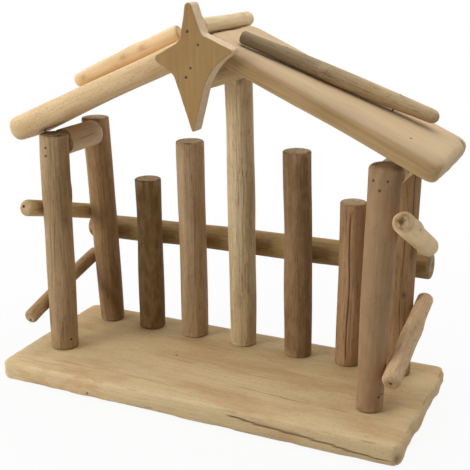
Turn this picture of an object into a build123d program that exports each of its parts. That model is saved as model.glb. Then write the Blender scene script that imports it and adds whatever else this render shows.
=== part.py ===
import os
from math import asin, atan2, cos, hypot, radians, sin, sqrt, tan

from build123d import *

# All sizes are in millimetres. The origin is the middle of the base board's underside,
# the open front faces -Y and +X is to the right of someone who looks in.

# Base board
base_length = 304.0
base_depth = 125.0
base_thickness = 16.0
base_corner_radius = 5.5
base_edge_rounding = 2.2

# Seats, cuts and saw ends shared by every stick
seat_gap = 0.2
cut_overrun = 3.0
end_rounding = 1.2

# Heights of the side walls, and how far a rear post passes or misses its wall's height
left_wall_height = 165.5
right_wall_height = 165.5
rear_left_rise = 1.1
rear_right_drop = 2.5

# Front left post, set in from the board's end
front_left_inset = 29.4
front_left_y = -21.0
front_left_lean = 2.8
front_left_foot_diameter = 20.2
front_left_head_diameter = 20.8

# Front right post
front_right_inset = 32.8
front_right_y = -20.0
front_right_lean = 4.4
front_right_foot_diameter = 18.0
front_right_head_diameter = 21.6

# Rear left post, which stands furthest out of true
rear_left_inset = 33.4
rear_left_lean = -6.6
rear_left_foot_diameter = 19.0
rear_left_head_diameter = 20.8

# Rear right post
rear_right_inset = 31.0
rear_right_lean = 0.4
rear_right_foot_diameter = 19.6
rear_right_head_diameter = 20.2

# Four pickets of the back wall, in pairs of equal height, spread from the king post to the rear posts
outer_left_picket_share = 0.6835
outer_left_picket_lean = 0.8
outer_left_picket_diameter = 20.2
inner_left_picket_share = 0.3552
inner_left_picket_lean = -0.6
inner_left_picket_diameter = 20.6
inner_right_picket_share = 0.3759
inner_right_picket_lean = -2.8
inner_right_picket_diameter = 20.8
outer_right_picket_share = 0.6978
outer_right_picket_lean = 0.5
outer_right_picket_diameter = 19.0
outer_picket_height = 122.0
inner_picket_height = 154.5
picket_bow = 0.5

# King post under the ridge
king_post_x = 0.2
king_post_height = 204.5
king_post_lean = -2.6
king_post_diameter = 20.0

# Back rail, nailed to the rear of the back wall, with ends that reach past the rear posts
back_rail_y = 59.4
back_rail_turn = -2.2
back_rail_left_height = 70.7
back_rail_right_height = 75.8
back_rail_left_reach = 27.6
back_rail_right_reach = 17.3
back_rail_left_diameter = 18.4
back_rail_right_diameter = 19.4
back_rail_bow_share = 0.007

# Side rails: heights above the board where they cross a post, and the ends past the posts
left_rail_front_height = 107.6
left_rail_rear_height = 89.4
left_rail_front_reach = 17.0
left_rail_rear_reach = 7.0
left_rail_diameter = 11.8
right_rail_front_height = 126.5
right_rail_rear_height = 97.5
right_rail_front_reach = 21.0
right_rail_rear_reach = 7.5
right_rail_diameter = 13.4

# Lower braces, which climb to the back
left_brace_front_height = 33.0
left_brace_rear_height = 50.6
left_brace_front_reach = 21.0
left_brace_rear_reach = 7.0
left_brace_diameter = 10.8
right_brace_front_height = 30.5
right_brace_rear_height = 51.5
right_brace_front_reach = 13.5
right_brace_rear_reach = 11.5
right_brace_foot_diameter = 13.0
right_brace_head_diameter = 11.2
brace_bow = 1.2

# Top plates, butted between the heads of front and rear posts
plate_diameter = 19.0
left_plate_drop = 9.0
left_plate_shift = -1.0
right_plate_drop = 9.0
right_plate_shift = 0.0

# Roof planks, split boards with a full round front edge and a thinner rear edge
left_eave_reach = 19.9
right_eave_reach = 23.8
plank_front_y = -32.0
plank_head_depth = 70.0
plank_tail_depth = 70.0
plank_head_thickness = 15.6
plank_tail_thickness = 17.4
plank_rear_thickness = 12.4
plank_flat_depth = 30.0
plank_head_rise = 4.2
plank_tail_rise = 5.0
plank_end_rounding = 4.2
plank_ridge_gap = 0.3

# Ridge beam, which lies on the king post
ridge_x = 4.8
ridge_beam_diameter = 19.5
ridge_beam_front_reach = 1.0
ridge_beam_rear_reach = 13.0

# Battens on the planks: the tail of the right one stands clear of its plank
left_batten_start = 25.0
left_batten_length = 86.5
left_batten_inset = 34.0
left_batten_skew = -10.0
left_batten_lift = 0.0
left_batten_head_diameter = 11.6
left_batten_middle_diameter = 12.2
left_batten_tail_diameter = 9.8
right_batten_start = 15.0
right_batten_length = 134.0
right_batten_inset = 12.0
right_batten_skew = 38.0
right_batten_lift = 4.0
right_batten_head_diameter = 9.0
right_batten_middle_diameter = 10.8
right_batten_tail_diameter = 8.8

# Ridge stick in the notch between the planks
ridge_stick_front_diameter = 10.8
ridge_stick_rear_diameter = 9.2
ridge_stick_rear_inset = 11.5
ridge_notch_share = 0.9

# Star: reach and radius of each point, and the corners where its sides meet, from the centre
star_rise = 13.6
star_thickness = 10.6
star_reach_up = 31.3
star_top_shift = -1.75
star_top_radius = 2.6
star_reach_right = 27.4
star_right_raise = 3.0
star_right_radius = 1.8
star_reach_down = 48.1
star_foot_shift = -0.2
star_foot_radius = 1.2
star_reach_left = 26.4
star_left_droop = 3.3
star_left_radius = 3.0
star_upper_right_out = 7.2
star_upper_right_rise = 12.5
star_lower_right_out = 11.0
star_lower_right_drop = 9.4
star_lower_left_out = 13.0
star_lower_left_drop = 13.3
star_upper_left_out = 8.4
star_upper_left_rise = 7.9
star_hollow_shares = (0.08, 0.75, 0.2, 0.2)
star_edge_rounding = 0.7

# Brads in the sticks and nails in the board
brad_diameter = 1.4
brad_sink = 1.2
bore_clearance = 0.05
brad_hold = 10.0
batten_brad_hold = 8.0
base_nail_diameter = 2.0
base_nail_head_diameter = 4.2
base_nail_head_height = 1.2
base_nail_hold = 22.0
base_nail_sink = 0.6
plate_brad_drop = 2.7
plate_brad_spread = 5.8
plate_brad_angle = 26.0
plank_brad_front_inset = 19.0
plank_brad_rear_inset = 54.0
post_brad_depth = 6.0
post_brad_shift = 4.0
ridge_brad_front_inset = 28.0
ridge_brad_rear_inset = 60.0
batten_brad_shares = (0.22, 0.79)
star_brad_shares = ((-0.10, 0.45), (0.17, 0.20), (-0.03, -0.17), (-0.155, -0.29))

bow_stations_share = (0.0, 0.25, 0.5, 0.75, 1.0)
board_top = base_thickness
board_end = base_length / 2
front_left_x = front_left_inset - board_end
front_right_x = board_end - front_right_inset
rear_left_x = rear_left_inset - board_end
rear_right_x = board_end - rear_right_inset
left_bay = rear_left_x - king_post_x
right_bay = rear_right_x - king_post_x
outer_left_picket_x = king_post_x + outer_left_picket_share * left_bay
inner_left_picket_x = king_post_x + inner_left_picket_share * left_bay
inner_right_picket_x = king_post_x + inner_right_picket_share * right_bay
outer_right_picket_x = king_post_x + outer_right_picket_share * right_bay
plank_head_spare = plank_head_thickness + cut_overrun
up = Vector(0, 0, 1)


class Stick:
    # A round stick with a start, middle and end diameter and a gentle bow
    def __init__(self, start, end, diameters, bow=0.0, bow_to=up, square_to=None, rounded=(True, True)):
        self.start = Vector(start)
        self.end = Vector(end)
        self.diameters = diameters
        self.bow = bow
        self.bow_to = Vector(bow_to)
        self.normal = square_to or (self.end - self.start).normalized()
        self.rounded = rounded

    def centre(self, share):
        straight = self.start + (self.end - self.start) * share
        return straight + self.bow_to * (4 * self.bow * share * (1 - share))

    def radius(self, share):
        first, middle, last = self.diameters
        blend = first * (1 - share) * (1 - 2 * share) + last * share * (2 * share - 1)
        return (blend + 4 * middle * share * (1 - share)) / 2

    def share_at(self, height):
        return (height - self.start.Z) / (self.end.Z - self.start.Z)

    def solid(self):
        side = Vector(0, 1, 0) if abs(self.normal.Y) < 0.9 else Vector(1, 0, 0)
        discs = []
        for share in bow_stations_share:
            plane = Plane(self.centre(share), x_dir=side.cross(self.normal), z_dir=self.normal)
            discs.append(plane * Circle(self.radius(share)))
        rod = loft(discs)
        caps = rod.faces().filter_by(GeomType.PLANE).sort_by(Axis(self.start, self.end - self.start))
        for cap, rounded in zip((caps[0], caps[-1]), self.rounded):
            if rounded:
                rod = fillet(cap.edges(), end_rounding)
        return rod


def even(diameter):
    return (diameter, diameter, diameter)


def taper(first, last):
    return (first, (first + last) / 2, last)


def post(x, y, height, lean, foot, head, bow=0.0):
    foot_point = (x, y, board_top)
    head_point = (x + lean, y, board_top + height)
    return Stick(foot_point, head_point, taper(foot, head), bow, (1, 0, 0), up, (False, True))


def back_rail():
    left_x = rear_left_x - back_rail_left_reach
    right_x = rear_right_x + back_rail_right_reach
    half_turn = back_rail_turn / 2
    left = (left_x, back_rail_y - half_turn, board_top + back_rail_left_height)
    right = (right_x, back_rail_y + half_turn, board_top + back_rail_right_height)
    bow = back_rail_bow_share * (right_x - left_x)
    return Stick(left, right, taper(back_rail_left_diameter, back_rail_right_diameter), bow)


def rear_post(rail, x, height, lean, foot, head, bow=0.0):
    # The post stands just in front of the back rail, which its rear side touches
    share = (x - rail.start.X) / (rail.end.X - rail.start.X)
    reach = rail.radius(share) + max(foot, head) / 2 + seat_gap
    return post(x, rail.centre(share).Y - reach, height, lean, foot, head, bow)


def side_rail(front, rear, side, heights, reaches, diameters, bow=0.0):
    # The rail lies against the outer sides of a front and a rear post
    crossings = []
    for upright, height, diameter in zip((front, rear), heights, (diameters[0], diameters[2])):
        share = upright.share_at(board_top + height)
        offset = upright.radius(share) + diameter / 2 + seat_gap
        crossings.append(upright.centre(share) + Vector(side * offset, 0, 0))
    run = (crossings[1] - crossings[0]).normalized()
    start = crossings[0] - run * reaches[0]
    end = crossings[1] + run * reaches[1]
    return Stick(start, end, diameters, bow, up)


def top_plate(front, rear, drop, shift):
    height = front.end.Z - drop
    front_share = front.share_at(height)
    rear_share = rear.share_at(height)
    x = front.centre(front_share).X + shift
    start_y = front.centre(front_share).Y + front.radius(front_share) + seat_gap
    end_y = rear.centre(rear_share).Y - rear.radius(rear_share) - seat_gap
    return Stick((x, start_y, height), (x, end_y, height), even(plate_diameter))


def ridge_beam(king):
    z = king.end.Z + seat_gap + ridge_beam_diameter / 2
    front_y = plank_front_y - ridge_beam_front_reach
    rear_y = king.end.Y + ridge_beam_rear_reach
    return Stick((ridge_x, front_y, z), (ridge_x, rear_y, z), even(ridge_beam_diameter))


class Slope:
    # One side of the roof: the plank's underside touches the ridge beam and a post's outer corner
    def __init__(self, side, upright, beam, eave_reach):
        corner_x = upright.end.X + side * (upright.radius(1) - end_rounding)
        corner_z = upright.end.Z - end_rounding
        across = side * (corner_x - ridge_x)
        fall = beam.start.Z - corner_z
        beam_radius = beam.radius(0) + seat_gap
        corner_radius = end_rounding + seat_gap
        span = hypot(across, fall)
        self.side = side
        self.pitch = atan2(fall, across) + asin((beam_radius - corner_radius) / span)
        self.apex_z = beam.start.Z + beam_radius / cos(self.pitch)
        self.down = Vector(side * cos(self.pitch), 0, -sin(self.pitch))
        self.out = Vector(side * sin(self.pitch), 0, cos(self.pitch))
        self.length = self.place(Vector(corner_x, 0, corner_z))[0] + eave_reach
        # The plank's head is sawn to leave half of the ridge stick's notch
        self.half_notch = ridge_notch_share * ridge_stick_front_diameter / 2
        thickness = max(plank_head_thickness, plank_head_rise + plank_rear_thickness)
        self.notch_height = (thickness - self.half_notch * sin(self.pitch)) / cos(self.pitch)
        self.bevel = atan2(self.half_notch - plank_ridge_gap / 2, self.notch_height)

    def point(self, along, y, above):
        # A place given by its distance down the slope, its Y and its height over the underside
        return Vector(ridge_x, y, self.apex_z) + self.down * along + self.out * above

    def place(self, spot):
        # Distance down the slope and height over the underside of a given spot
        offset = spot - Vector(ridge_x, spot.Y, self.apex_z)
        return offset.dot(self.down), offset.dot(self.out)


def plank_section(thickness, depth, rise):
    half = thickness / 2
    rear_half = plank_rear_thickness / 2
    rear = depth - rear_half
    top_rear = rise + plank_rear_thickness
    outline = [
        ThreePointArc((half, thickness), (0, half), (half, 0)),
        Line((half, 0), (plank_flat_depth, 0)),
        Line((plank_flat_depth, 0), (rear, rise)),
        ThreePointArc((rear, rise), (depth, rise + rear_half), (rear, top_rear)),
        Line((rear, top_rear), (half, thickness)),
    ]
    return make_face(outline)


def plank_top(length, along, y):
    # Height of the plank's upper face over its underside at the front
    share = (along + plank_head_spare) / (length + plank_head_spare)
    front = plank_head_thickness + (plank_tail_thickness - plank_head_thickness) * share
    rise = plank_head_rise + (plank_tail_rise - plank_head_rise) * share
    depth = plank_head_depth + (plank_tail_depth - plank_head_depth) * share
    run = depth - plank_rear_thickness / 2 - front / 2
    inward = (y - plank_front_y - front / 2) / run
    return front + (rise + plank_rear_thickness - front) * inward


def roof_plank(slope):
    # Drawn on the right-hand side, then mirrored for the left
    right = Vector(cos(slope.pitch), 0, -sin(slope.pitch))
    head = Vector(0, plank_front_y, slope.apex_z) - right * plank_head_spare
    tail = Vector(0, plank_front_y, slope.apex_z) + right * slope.length
    sections = []
    ends = (
        (head, plank_head_thickness, plank_head_depth, plank_head_rise),
        (tail, plank_tail_thickness, plank_tail_depth, plank_tail_rise),
    )
    for place, thickness, depth, rise in ends:
        plane = Plane(place, x_dir=(0, 1, 0), z_dir=right)
        sections.append(plane * plank_section(thickness, depth, rise))
    plank = loft(sections)
    tail_cap = plank.faces().sort_by(Axis(head, right))[-1]
    plank = fillet(tail_cap.edges(), plank_end_rounding)
    saw_normal = (cos(slope.bevel), 0, -sin(slope.bevel))
    saw = Plane((plank_ridge_gap / 2, 0, slope.apex_z), x_dir=(0, 1, 0), z_dir=saw_normal)
    plank = split(plank, saw, keep=Keep.TOP)
    if slope.side < 0:
        plank = mirror(plank, Plane.YZ)
    return Pos(ridge_x, 0, 0) * plank


def batten(slope, start, length, y, skew, lift, diameters):
    # The stick is lowered on to the plank until its closest place is one seat gap away
    end = start + sqrt(length**2 - skew**2)
    rough = Stick((start, y, 0), (end, y + skew, lift), diameters)
    heights = []
    for share in bow_stations_share:
        place = rough.centre(share)
        heights.append(plank_top(slope.length, place.X, place.Y) + rough.radius(share) - place.Z)
    rest = max(heights) + seat_gap
    start_point = slope.point(start, y, rest)
    end_point = slope.point(end, y + skew, rest + lift)
    return Stick(start_point, end_point, diameters)


def ridge_stick(slopes, beam):
    # It rests on the upper corners of both planks where their saw cuts leave a notch
    radius = ridge_stick_front_diameter / 2 + seat_gap
    levels = []
    for slope in slopes:
        sink = sqrt(radius**2 - slope.half_notch**2)
        levels.append(slope.apex_z + slope.notch_height + sink)
    z = max(levels)
    fall = (ridge_stick_front_diameter - ridge_stick_rear_diameter) / 2
    start = (ridge_x, beam.start.Y, z)
    end = (ridge_x, beam.end.Y - ridge_stick_rear_inset, z - fall)
    return Stick(start, end, taper(ridge_stick_front_diameter, ridge_stick_rear_diameter))


def touch(corner, centre, radius, turn):
    # Where a straight side from a corner runs into a round point
    run = centre - corner
    angle = atan2(run.Y, run.X) + turn * asin(radius / run.length)
    return corner + Vector(cos(angle), sin(angle)) * sqrt(run.length**2 - radius**2)


def star_outline():
    # Clockwise from the top: round points, straight sides and a hollow at each corner between them
    points = (
        (Vector(star_top_shift, star_reach_up - star_top_radius), star_top_radius, Vector(0, 1)),
        (Vector(star_reach_right - star_right_radius, star_right_raise), star_right_radius, Vector(1, 0)),
        (Vector(star_foot_shift, star_foot_radius - star_reach_down), star_foot_radius, Vector(0, -1)),
        (Vector(star_left_radius - star_reach_left, -star_left_droop), star_left_radius, Vector(-1, 0)),
    )
    corners = (
        Vector(star_upper_right_out, star_upper_right_rise),
        Vector(star_lower_right_out, -star_lower_right_drop),
        Vector(-star_lower_left_out, -star_lower_left_drop),
        Vector(-star_upper_left_out, star_upper_left_rise),
    )
    arrivals = [touch(corners[i - 1], centre, radius, 1) for i, (centre, radius, _) in enumerate(points)]
    leavings = [touch(corners[i], centre, radius, -1) for i, (centre, radius, _) in enumerate(points)]
    outline = []
    for i, (centre, radius, outward) in enumerate(points):
        corner, leaving, arrival = corners[i], leavings[i], arrivals[(i + 1) % len(points)]
        side_in, side_out = corner - leaving, arrival - corner
        reach = star_hollow_shares[i] * min(side_in.length, side_out.length)
        course_in, course_out = side_in.normalized(), side_out.normalized()
        half_turn = radians(course_in.get_angle(course_out)) / 2
        hollow = reach / tan(half_turn)
        inward = (course_out - course_in).normalized()
        first, last = corner - course_in * reach, corner + course_out * reach
        waist = corner + inward * (hollow / cos(half_turn) - hollow)
        outline.append(ThreePointArc(arrivals[i], centre + outward * radius, leaving))
        outline.append(Line(leaving, first))
        outline.append(ThreePointArc(first, waist, last))
        outline.append(Line(last, arrival))
    return make_face(outline)


def star_plane(beam):
    # The back of the star lies on the sawn front ends of the ridge beam and the ridge stick
    middle = beam.start + Vector(0, -seat_gap, star_rise)
    return Plane(middle, x_dir=(1, 0, 0), z_dir=(0, -1, 0))


def star(beam):
    board = extrude(star_plane(beam) * star_outline(), star_thickness)
    faces = board.faces().sort_by(Axis.Y)
    return fillet(faces[0].edges() + faces[-1].edges(), star_edge_rounding)


def base_board():
    board = Pos(0, 0, base_thickness / 2) * Box(base_length, base_depth, base_thickness)
    board = fillet(board.edges().filter_by(Axis.Z), base_corner_radius)
    rims = board.faces().sort_by(Axis.Z)
    return fillet(rims[0].edges() + rims[-1].edges(), base_edge_rounding)


def pin(entry, heading, length, diameter):
    return extrude(Plane(entry, z_dir=heading) * Circle(diameter / 2), length)


class Fasteners:
    # Named groups of brads or nails, with the bores that they stand in
    def __init__(self):
        self.groups = {}
        self.bores = []

    def brad(self, group, entry, heading, length):
        heading = Vector(heading).normalized()
        entry = Vector(entry)
        wire = pin(entry + heading * brad_sink, heading, length - brad_sink, brad_diameter)
        bore_diameter = brad_diameter + 2 * bore_clearance
        bore_length = length + cut_overrun + bore_clearance
        self.groups.setdefault(group, []).append(wire)
        self.bores.append(pin(entry - heading * cut_overrun, heading, bore_length, bore_diameter))

    def base_nail(self, x, y):
        shank_start = base_nail_sink + base_nail_head_height
        tip = base_thickness + base_nail_hold
        head = pin((x, y, base_nail_sink), up, base_nail_head_height, base_nail_head_diameter)
        shank = pin((x, y, shank_start), up, tip - shank_start, base_nail_diameter)
        self.groups.setdefault("base_nails", []).append(head + shank)
        recess_length = cut_overrun + shank_start + bore_clearance
        recess_diameter = base_nail_head_diameter + 2 * bore_clearance
        self.bores.append(pin((x, y, -cut_overrun), up, recess_length, recess_diameter))
        self.bores.append(pin((x, y, 0), up, tip + bore_clearance, base_nail_diameter + 2 * bore_clearance))

    def bored(self, solid):
        box = solid.bounding_box()
        near = [bore for bore in self.bores if box.overlaps(bore.bounding_box())]
        return solid - near if near else solid


rear_row = (
    "rear_left_post", "outer_left_picket", "inner_left_picket", "king_post",
    "inner_right_picket", "outer_right_picket", "rear_right_post")
side_sticks = (
    ("left_side_rail", "front_left_post", "rear_left_post", -1),
    ("left_brace", "front_left_post", "rear_left_post", -1),
    ("right_side_rail", "front_right_post", "rear_right_post", 1),
    ("right_brace", "front_right_post", "rear_right_post", 1))


def nail_walls(work, sticks):
    for name in (*rear_row, "front_left_post", "front_right_post"):
        work.base_nail(sticks[name].start.X, sticks[name].start.Y)
    rail = sticks["back_rail"]
    for name in rear_row:
        upright = sticks[name]
        level = (upright.share_at(rail.start.Z) + upright.share_at(rail.end.Z)) / 2
        x = upright.centre(level).X
        share = (x - rail.start.X) / (rail.end.X - rail.start.X)
        entry = rail.centre(share) + Vector(0, rail.radius(share), 0)
        work.brad("back_rail_brads", entry, (0, -1, 0), 2 * rail.radius(share) + brad_hold)
    for name, front, rear, side in side_sticks:
        rail = sticks[name]
        for upright in (sticks[front], sticks[rear]):
            share = (upright.start.Y - rail.start.Y) / (rail.end.Y - rail.start.Y)
            entry = rail.centre(share) + Vector(side * rail.radius(share), 0, 0)
            work.brad("side_rail_brads", entry, (-side, 0, 0), 2 * rail.radius(share) + brad_hold)


def nail_plates(work, sticks):
    left, right = sticks["left_top_plate"], sticks["right_top_plate"]
    left_low = left.start.Z - plate_brad_drop - plate_brad_spread / 2
    right_low = right.start.Z - plate_brad_drop - plate_brad_spread / 2
    front_brads = (
        ("front_left_post", left_low, 0),
        ("front_left_post", left_low + plate_brad_spread, 0),
        ("front_right_post", right_low, 0),
        ("front_right_post", right_low + plate_brad_spread, plate_brad_angle),
        ("front_right_post", right_low + plate_brad_spread, -plate_brad_angle),
    )
    for name, height, angle in front_brads:
        upright = sticks[name]
        share = upright.share_at(height)
        outward = Vector(sin(radians(angle)), -cos(radians(angle)), 0)
        entry = upright.centre(share) + outward * upright.radius(share)
        work.brad("plate_brads", entry, -outward, 2 * upright.radius(share) + brad_hold)
    for name, plate in (("rear_left_post", left), ("rear_right_post", right)):
        upright = sticks[name]
        share = upright.share_at(plate.start.Z)
        entry = upright.centre(share) + Vector(0, upright.radius(share), 0)
        work.brad("plate_brads", entry, (0, -1, 0), 2 * upright.radius(share) + brad_hold)


def nail_plank(work, slope, beam, upright):
    # Two brads down into the ridge beam and one into the head of the front post
    beam_middle = Vector(beam.start.X, 0, beam.start.Z)
    post_middle = upright.end - up * post_brad_depth + Vector(slope.side * post_brad_shift, 0, 0)
    places = (
        (beam_middle, plank_front_y + plank_brad_front_inset),
        (beam_middle, plank_front_y + plank_brad_rear_inset),
        (post_middle, upright.end.Y),
    )
    for middle, y in places:
        along, above = slope.place(middle)
        top = plank_top(slope.length, along, y)
        work.brad("roof_brads", slope.point(along, y, top), -slope.out, top - above)


def nail_roof(work, sticks, slopes):
    beam, king, crest = sticks["ridge_beam"], sticks["king_post"], sticks["ridge_stick"]
    nail_plank(work, slopes["left"], beam, sticks["front_left_post"])
    nail_plank(work, slopes["right"], beam, sticks["front_right_post"])
    for side, slope in slopes.items():
        rod = sticks[f"{side}_batten"]
        for share in batten_brad_shares:
            length = 2 * rod.radius(share) + batten_brad_hold
            work.brad("roof_brads", rod.centre(share) + slope.out * rod.radius(share), -slope.out, length)
    for inset in (ridge_brad_front_inset, ridge_brad_rear_inset):
        share = (plank_front_y + inset - crest.start.Y) / (crest.end.Y - crest.start.Y)
        entry = crest.centre(share) + up * crest.radius(share)
        work.brad("roof_brads", entry, -up, entry.Z - beam.start.Z)
    x = (beam.end.X + king.end.X) / 2
    rise = sqrt(beam.radius(0)**2 - (x - beam.end.X)**2)
    entry = Vector(x, king.end.Y, beam.end.Z + rise)
    work.brad("roof_brads", entry, -up, entry.Z - king.end.Z + brad_hold)


def nail_star(work, beam):
    plane = star_plane(beam)
    for across_share, rise_share in star_brad_shares:
        across = across_share * (star_reach_left if across_share < 0 else star_reach_right)
        rise = rise_share * (star_reach_down if rise_share < 0 else star_reach_up)
        entry = plane.from_local_coords(Vector(across, rise, star_thickness))
        work.brad("star_brads", entry, (0, 1, 0), star_thickness + brad_hold)


def wall_pieces():
    sticks = {}
    rail = back_rail()
    sticks["back_rail"] = rail
    sticks["front_left_post"] = post(
        front_left_x, front_left_y, left_wall_height, front_left_lean,
        front_left_foot_diameter, front_left_head_diameter)
    sticks["front_right_post"] = post(
        front_right_x, front_right_y, right_wall_height, front_right_lean,
        front_right_foot_diameter, front_right_head_diameter)
    sticks["rear_left_post"] = rear_post(
        rail, rear_left_x, left_wall_height + rear_left_rise, rear_left_lean,
        rear_left_foot_diameter, rear_left_head_diameter)
    sticks["rear_right_post"] = rear_post(
        rail, rear_right_x, right_wall_height - rear_right_drop, rear_right_lean,
        rear_right_foot_diameter, rear_right_head_diameter)
    pickets = {
        "outer_left_picket": (
            outer_left_picket_x, outer_picket_height, outer_left_picket_lean, outer_left_picket_diameter),
        "inner_left_picket": (
            inner_left_picket_x, inner_picket_height, inner_left_picket_lean, inner_left_picket_diameter),
        "inner_right_picket": (
            inner_right_picket_x, inner_picket_height,
            inner_right_picket_lean, inner_right_picket_diameter),
        "outer_right_picket": (
            outer_right_picket_x, outer_picket_height,
            outer_right_picket_lean, outer_right_picket_diameter),
        "king_post": (king_post_x, king_post_height, king_post_lean, king_post_diameter),
    }
    for name, (x, height, lean, diameter) in pickets.items():
        sticks[name] = rear_post(rail, x, height, lean, diameter, diameter, picket_bow)
    return sticks


def side_pieces(sticks):
    left = (sticks["front_left_post"], sticks["rear_left_post"], -1)
    right = (sticks["front_right_post"], sticks["rear_right_post"], 1)
    sticks["left_side_rail"] = side_rail(
        *left, (left_rail_front_height, left_rail_rear_height),
        (left_rail_front_reach, left_rail_rear_reach), even(left_rail_diameter))
    sticks["right_side_rail"] = side_rail(
        *right, (right_rail_front_height, right_rail_rear_height),
        (right_rail_front_reach, right_rail_rear_reach), even(right_rail_diameter))
    sticks["left_brace"] = side_rail(
        *left, (left_brace_front_height, left_brace_rear_height),
        (left_brace_front_reach, left_brace_rear_reach), even(left_brace_diameter), brace_bow)
    sticks["right_brace"] = side_rail(
        *right, (right_brace_front_height, right_brace_rear_height),
        (right_brace_front_reach, right_brace_rear_reach),
        taper(right_brace_foot_diameter, right_brace_head_diameter), brace_bow)
    sticks["left_top_plate"] = top_plate(*left[:2], left_plate_drop, left_plate_shift)
    sticks["right_top_plate"] = top_plate(*right[:2], right_plate_drop, right_plate_shift)


def roof_pieces(sticks):
    sticks["ridge_beam"] = ridge_beam(sticks["king_post"])
    beam = sticks["ridge_beam"]
    slopes = {
        "left": Slope(-1, sticks["front_left_post"], beam, left_eave_reach),
        "right": Slope(1, sticks["front_right_post"], beam, right_eave_reach),
    }
    sticks["left_batten"] = batten(
        slopes["left"], left_batten_start, left_batten_length,
        plank_front_y + left_batten_inset, left_batten_skew, left_batten_lift,
        (left_batten_head_diameter, left_batten_middle_diameter, left_batten_tail_diameter))
    sticks["right_batten"] = batten(
        slopes["right"], right_batten_start, right_batten_length,
        plank_front_y + right_batten_inset, right_batten_skew, right_batten_lift,
        (right_batten_head_diameter, right_batten_middle_diameter, right_batten_tail_diameter))
    sticks["ridge_stick"] = ridge_stick(slopes.values(), beam)
    return slopes


def main():
    sticks = wall_pieces()
    side_pieces(sticks)
    slopes = roof_pieces(sticks)
    pieces = {name: stick.solid() for name, stick in sticks.items()}
    pieces["base_board"] = base_board()
    pieces["left_roof_plank"] = roof_plank(slopes["left"])
    pieces["right_roof_plank"] = roof_plank(slopes["right"])
    pieces["star"] = star(sticks["ridge_beam"])
    work = Fasteners()
    nail_walls(work, sticks)
    nail_plates(work, sticks)
    nail_roof(work, sticks, slopes)
    nail_star(work, sticks["ridge_beam"])
    os.makedirs("parts", exist_ok=True)
    for name, solid in pieces.items():
        export_step(work.bored(solid), f"parts/{name}.step")
    for name, fasteners in work.groups.items():
        export_step(Compound(children=fasteners), f"parts/{name}.step")


main()
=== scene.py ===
import math
import bmesh
import bpy
import numpy as np
from mathutils import Matrix, Vector
from mathutils.bvhtree import BVHTree


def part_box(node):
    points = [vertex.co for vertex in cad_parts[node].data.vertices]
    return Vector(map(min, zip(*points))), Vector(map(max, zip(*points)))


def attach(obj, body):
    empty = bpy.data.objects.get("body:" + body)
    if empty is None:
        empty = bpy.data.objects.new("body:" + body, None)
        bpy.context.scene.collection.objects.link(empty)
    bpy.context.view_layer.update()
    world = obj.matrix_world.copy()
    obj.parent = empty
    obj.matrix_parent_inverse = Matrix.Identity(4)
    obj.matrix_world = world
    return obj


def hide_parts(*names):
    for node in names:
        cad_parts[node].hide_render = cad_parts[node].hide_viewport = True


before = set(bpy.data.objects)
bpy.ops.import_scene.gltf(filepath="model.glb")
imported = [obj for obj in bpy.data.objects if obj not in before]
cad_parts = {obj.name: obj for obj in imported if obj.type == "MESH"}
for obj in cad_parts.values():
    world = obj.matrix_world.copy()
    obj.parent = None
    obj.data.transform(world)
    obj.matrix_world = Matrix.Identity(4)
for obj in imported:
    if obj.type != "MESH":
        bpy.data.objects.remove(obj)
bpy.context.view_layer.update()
print("frame:", len(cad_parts), "nodes")

mm = 0.001
fullTurn = 2 * math.pi
weldGap = 0.002 * mm
tiny = 1e-15  # keeps a division by nothing from failing


# Small helpers

def putInScene(name, data):
    thing = bpy.data.objects.new(name, data)
    bpy.context.scene.collection.objects.link(thing)
    return thing


def plainMesh(thing):
    return bpy.data.meshes.new_from_object(thing.evaluated_get(bpy.context.evaluated_depsgraph_get()))


def unit(vector):
    return vector / np.linalg.norm(vector)


def ease(low, high, value):
    share = np.clip((value - low) / (high - low), 0, 1)
    return share * share * (3 - 2 * share)


def between(low, high, fadeIn, fadeOut, value):
    return ease(low, low + fadeIn, value) * (1 - ease(high - fadeOut, high, value))


def bell(far, size):
    return np.exp(-(far / size) ** 2)


def waves(points, seed, low, high, count, stretch=1):
    # soft seeded noise: sine waves between two frequencies, in turns per metre, drawn out along z
    chance = np.random.default_rng(seed)
    spread = points * (1, 1, stretch)
    fading = 0.4  # how fast the short waves lose height
    total = np.zeros(len(points))
    power = 0
    for _ in range(count):
        heading = unit(chance.normal(size=3))
        turns = low * (high / low) ** chance.random()
        weight = (low / turns) ** fading
        total += weight * np.sin(spread @ heading * turns * fullTurn + chance.random() * fullTurn)
        power += weight * weight / 2
    return total / math.sqrt(power)


def relief(points, seed, layers):
    # a layer: lowest and highest turns per metre, waves, stretch along the grain, height in mm
    total = np.zeros(len(points))
    for n, (low, high, count, stretch, height) in enumerate(layers):
        total += waves(points, seed + n, low, high, count, stretch) * height * mm
    return total


# Camera, at the photograph's angle

photoView = {
    "azimuth": 25.36, "elevation": 17.785, "roll": -0.537,
    "focalPixels": 915.068, "imagePixels": 470,
    "place": (0.271914, -0.547193, 0.310234),
    "sensorWidth": 36, "clipStart": 0.01,
}


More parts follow.
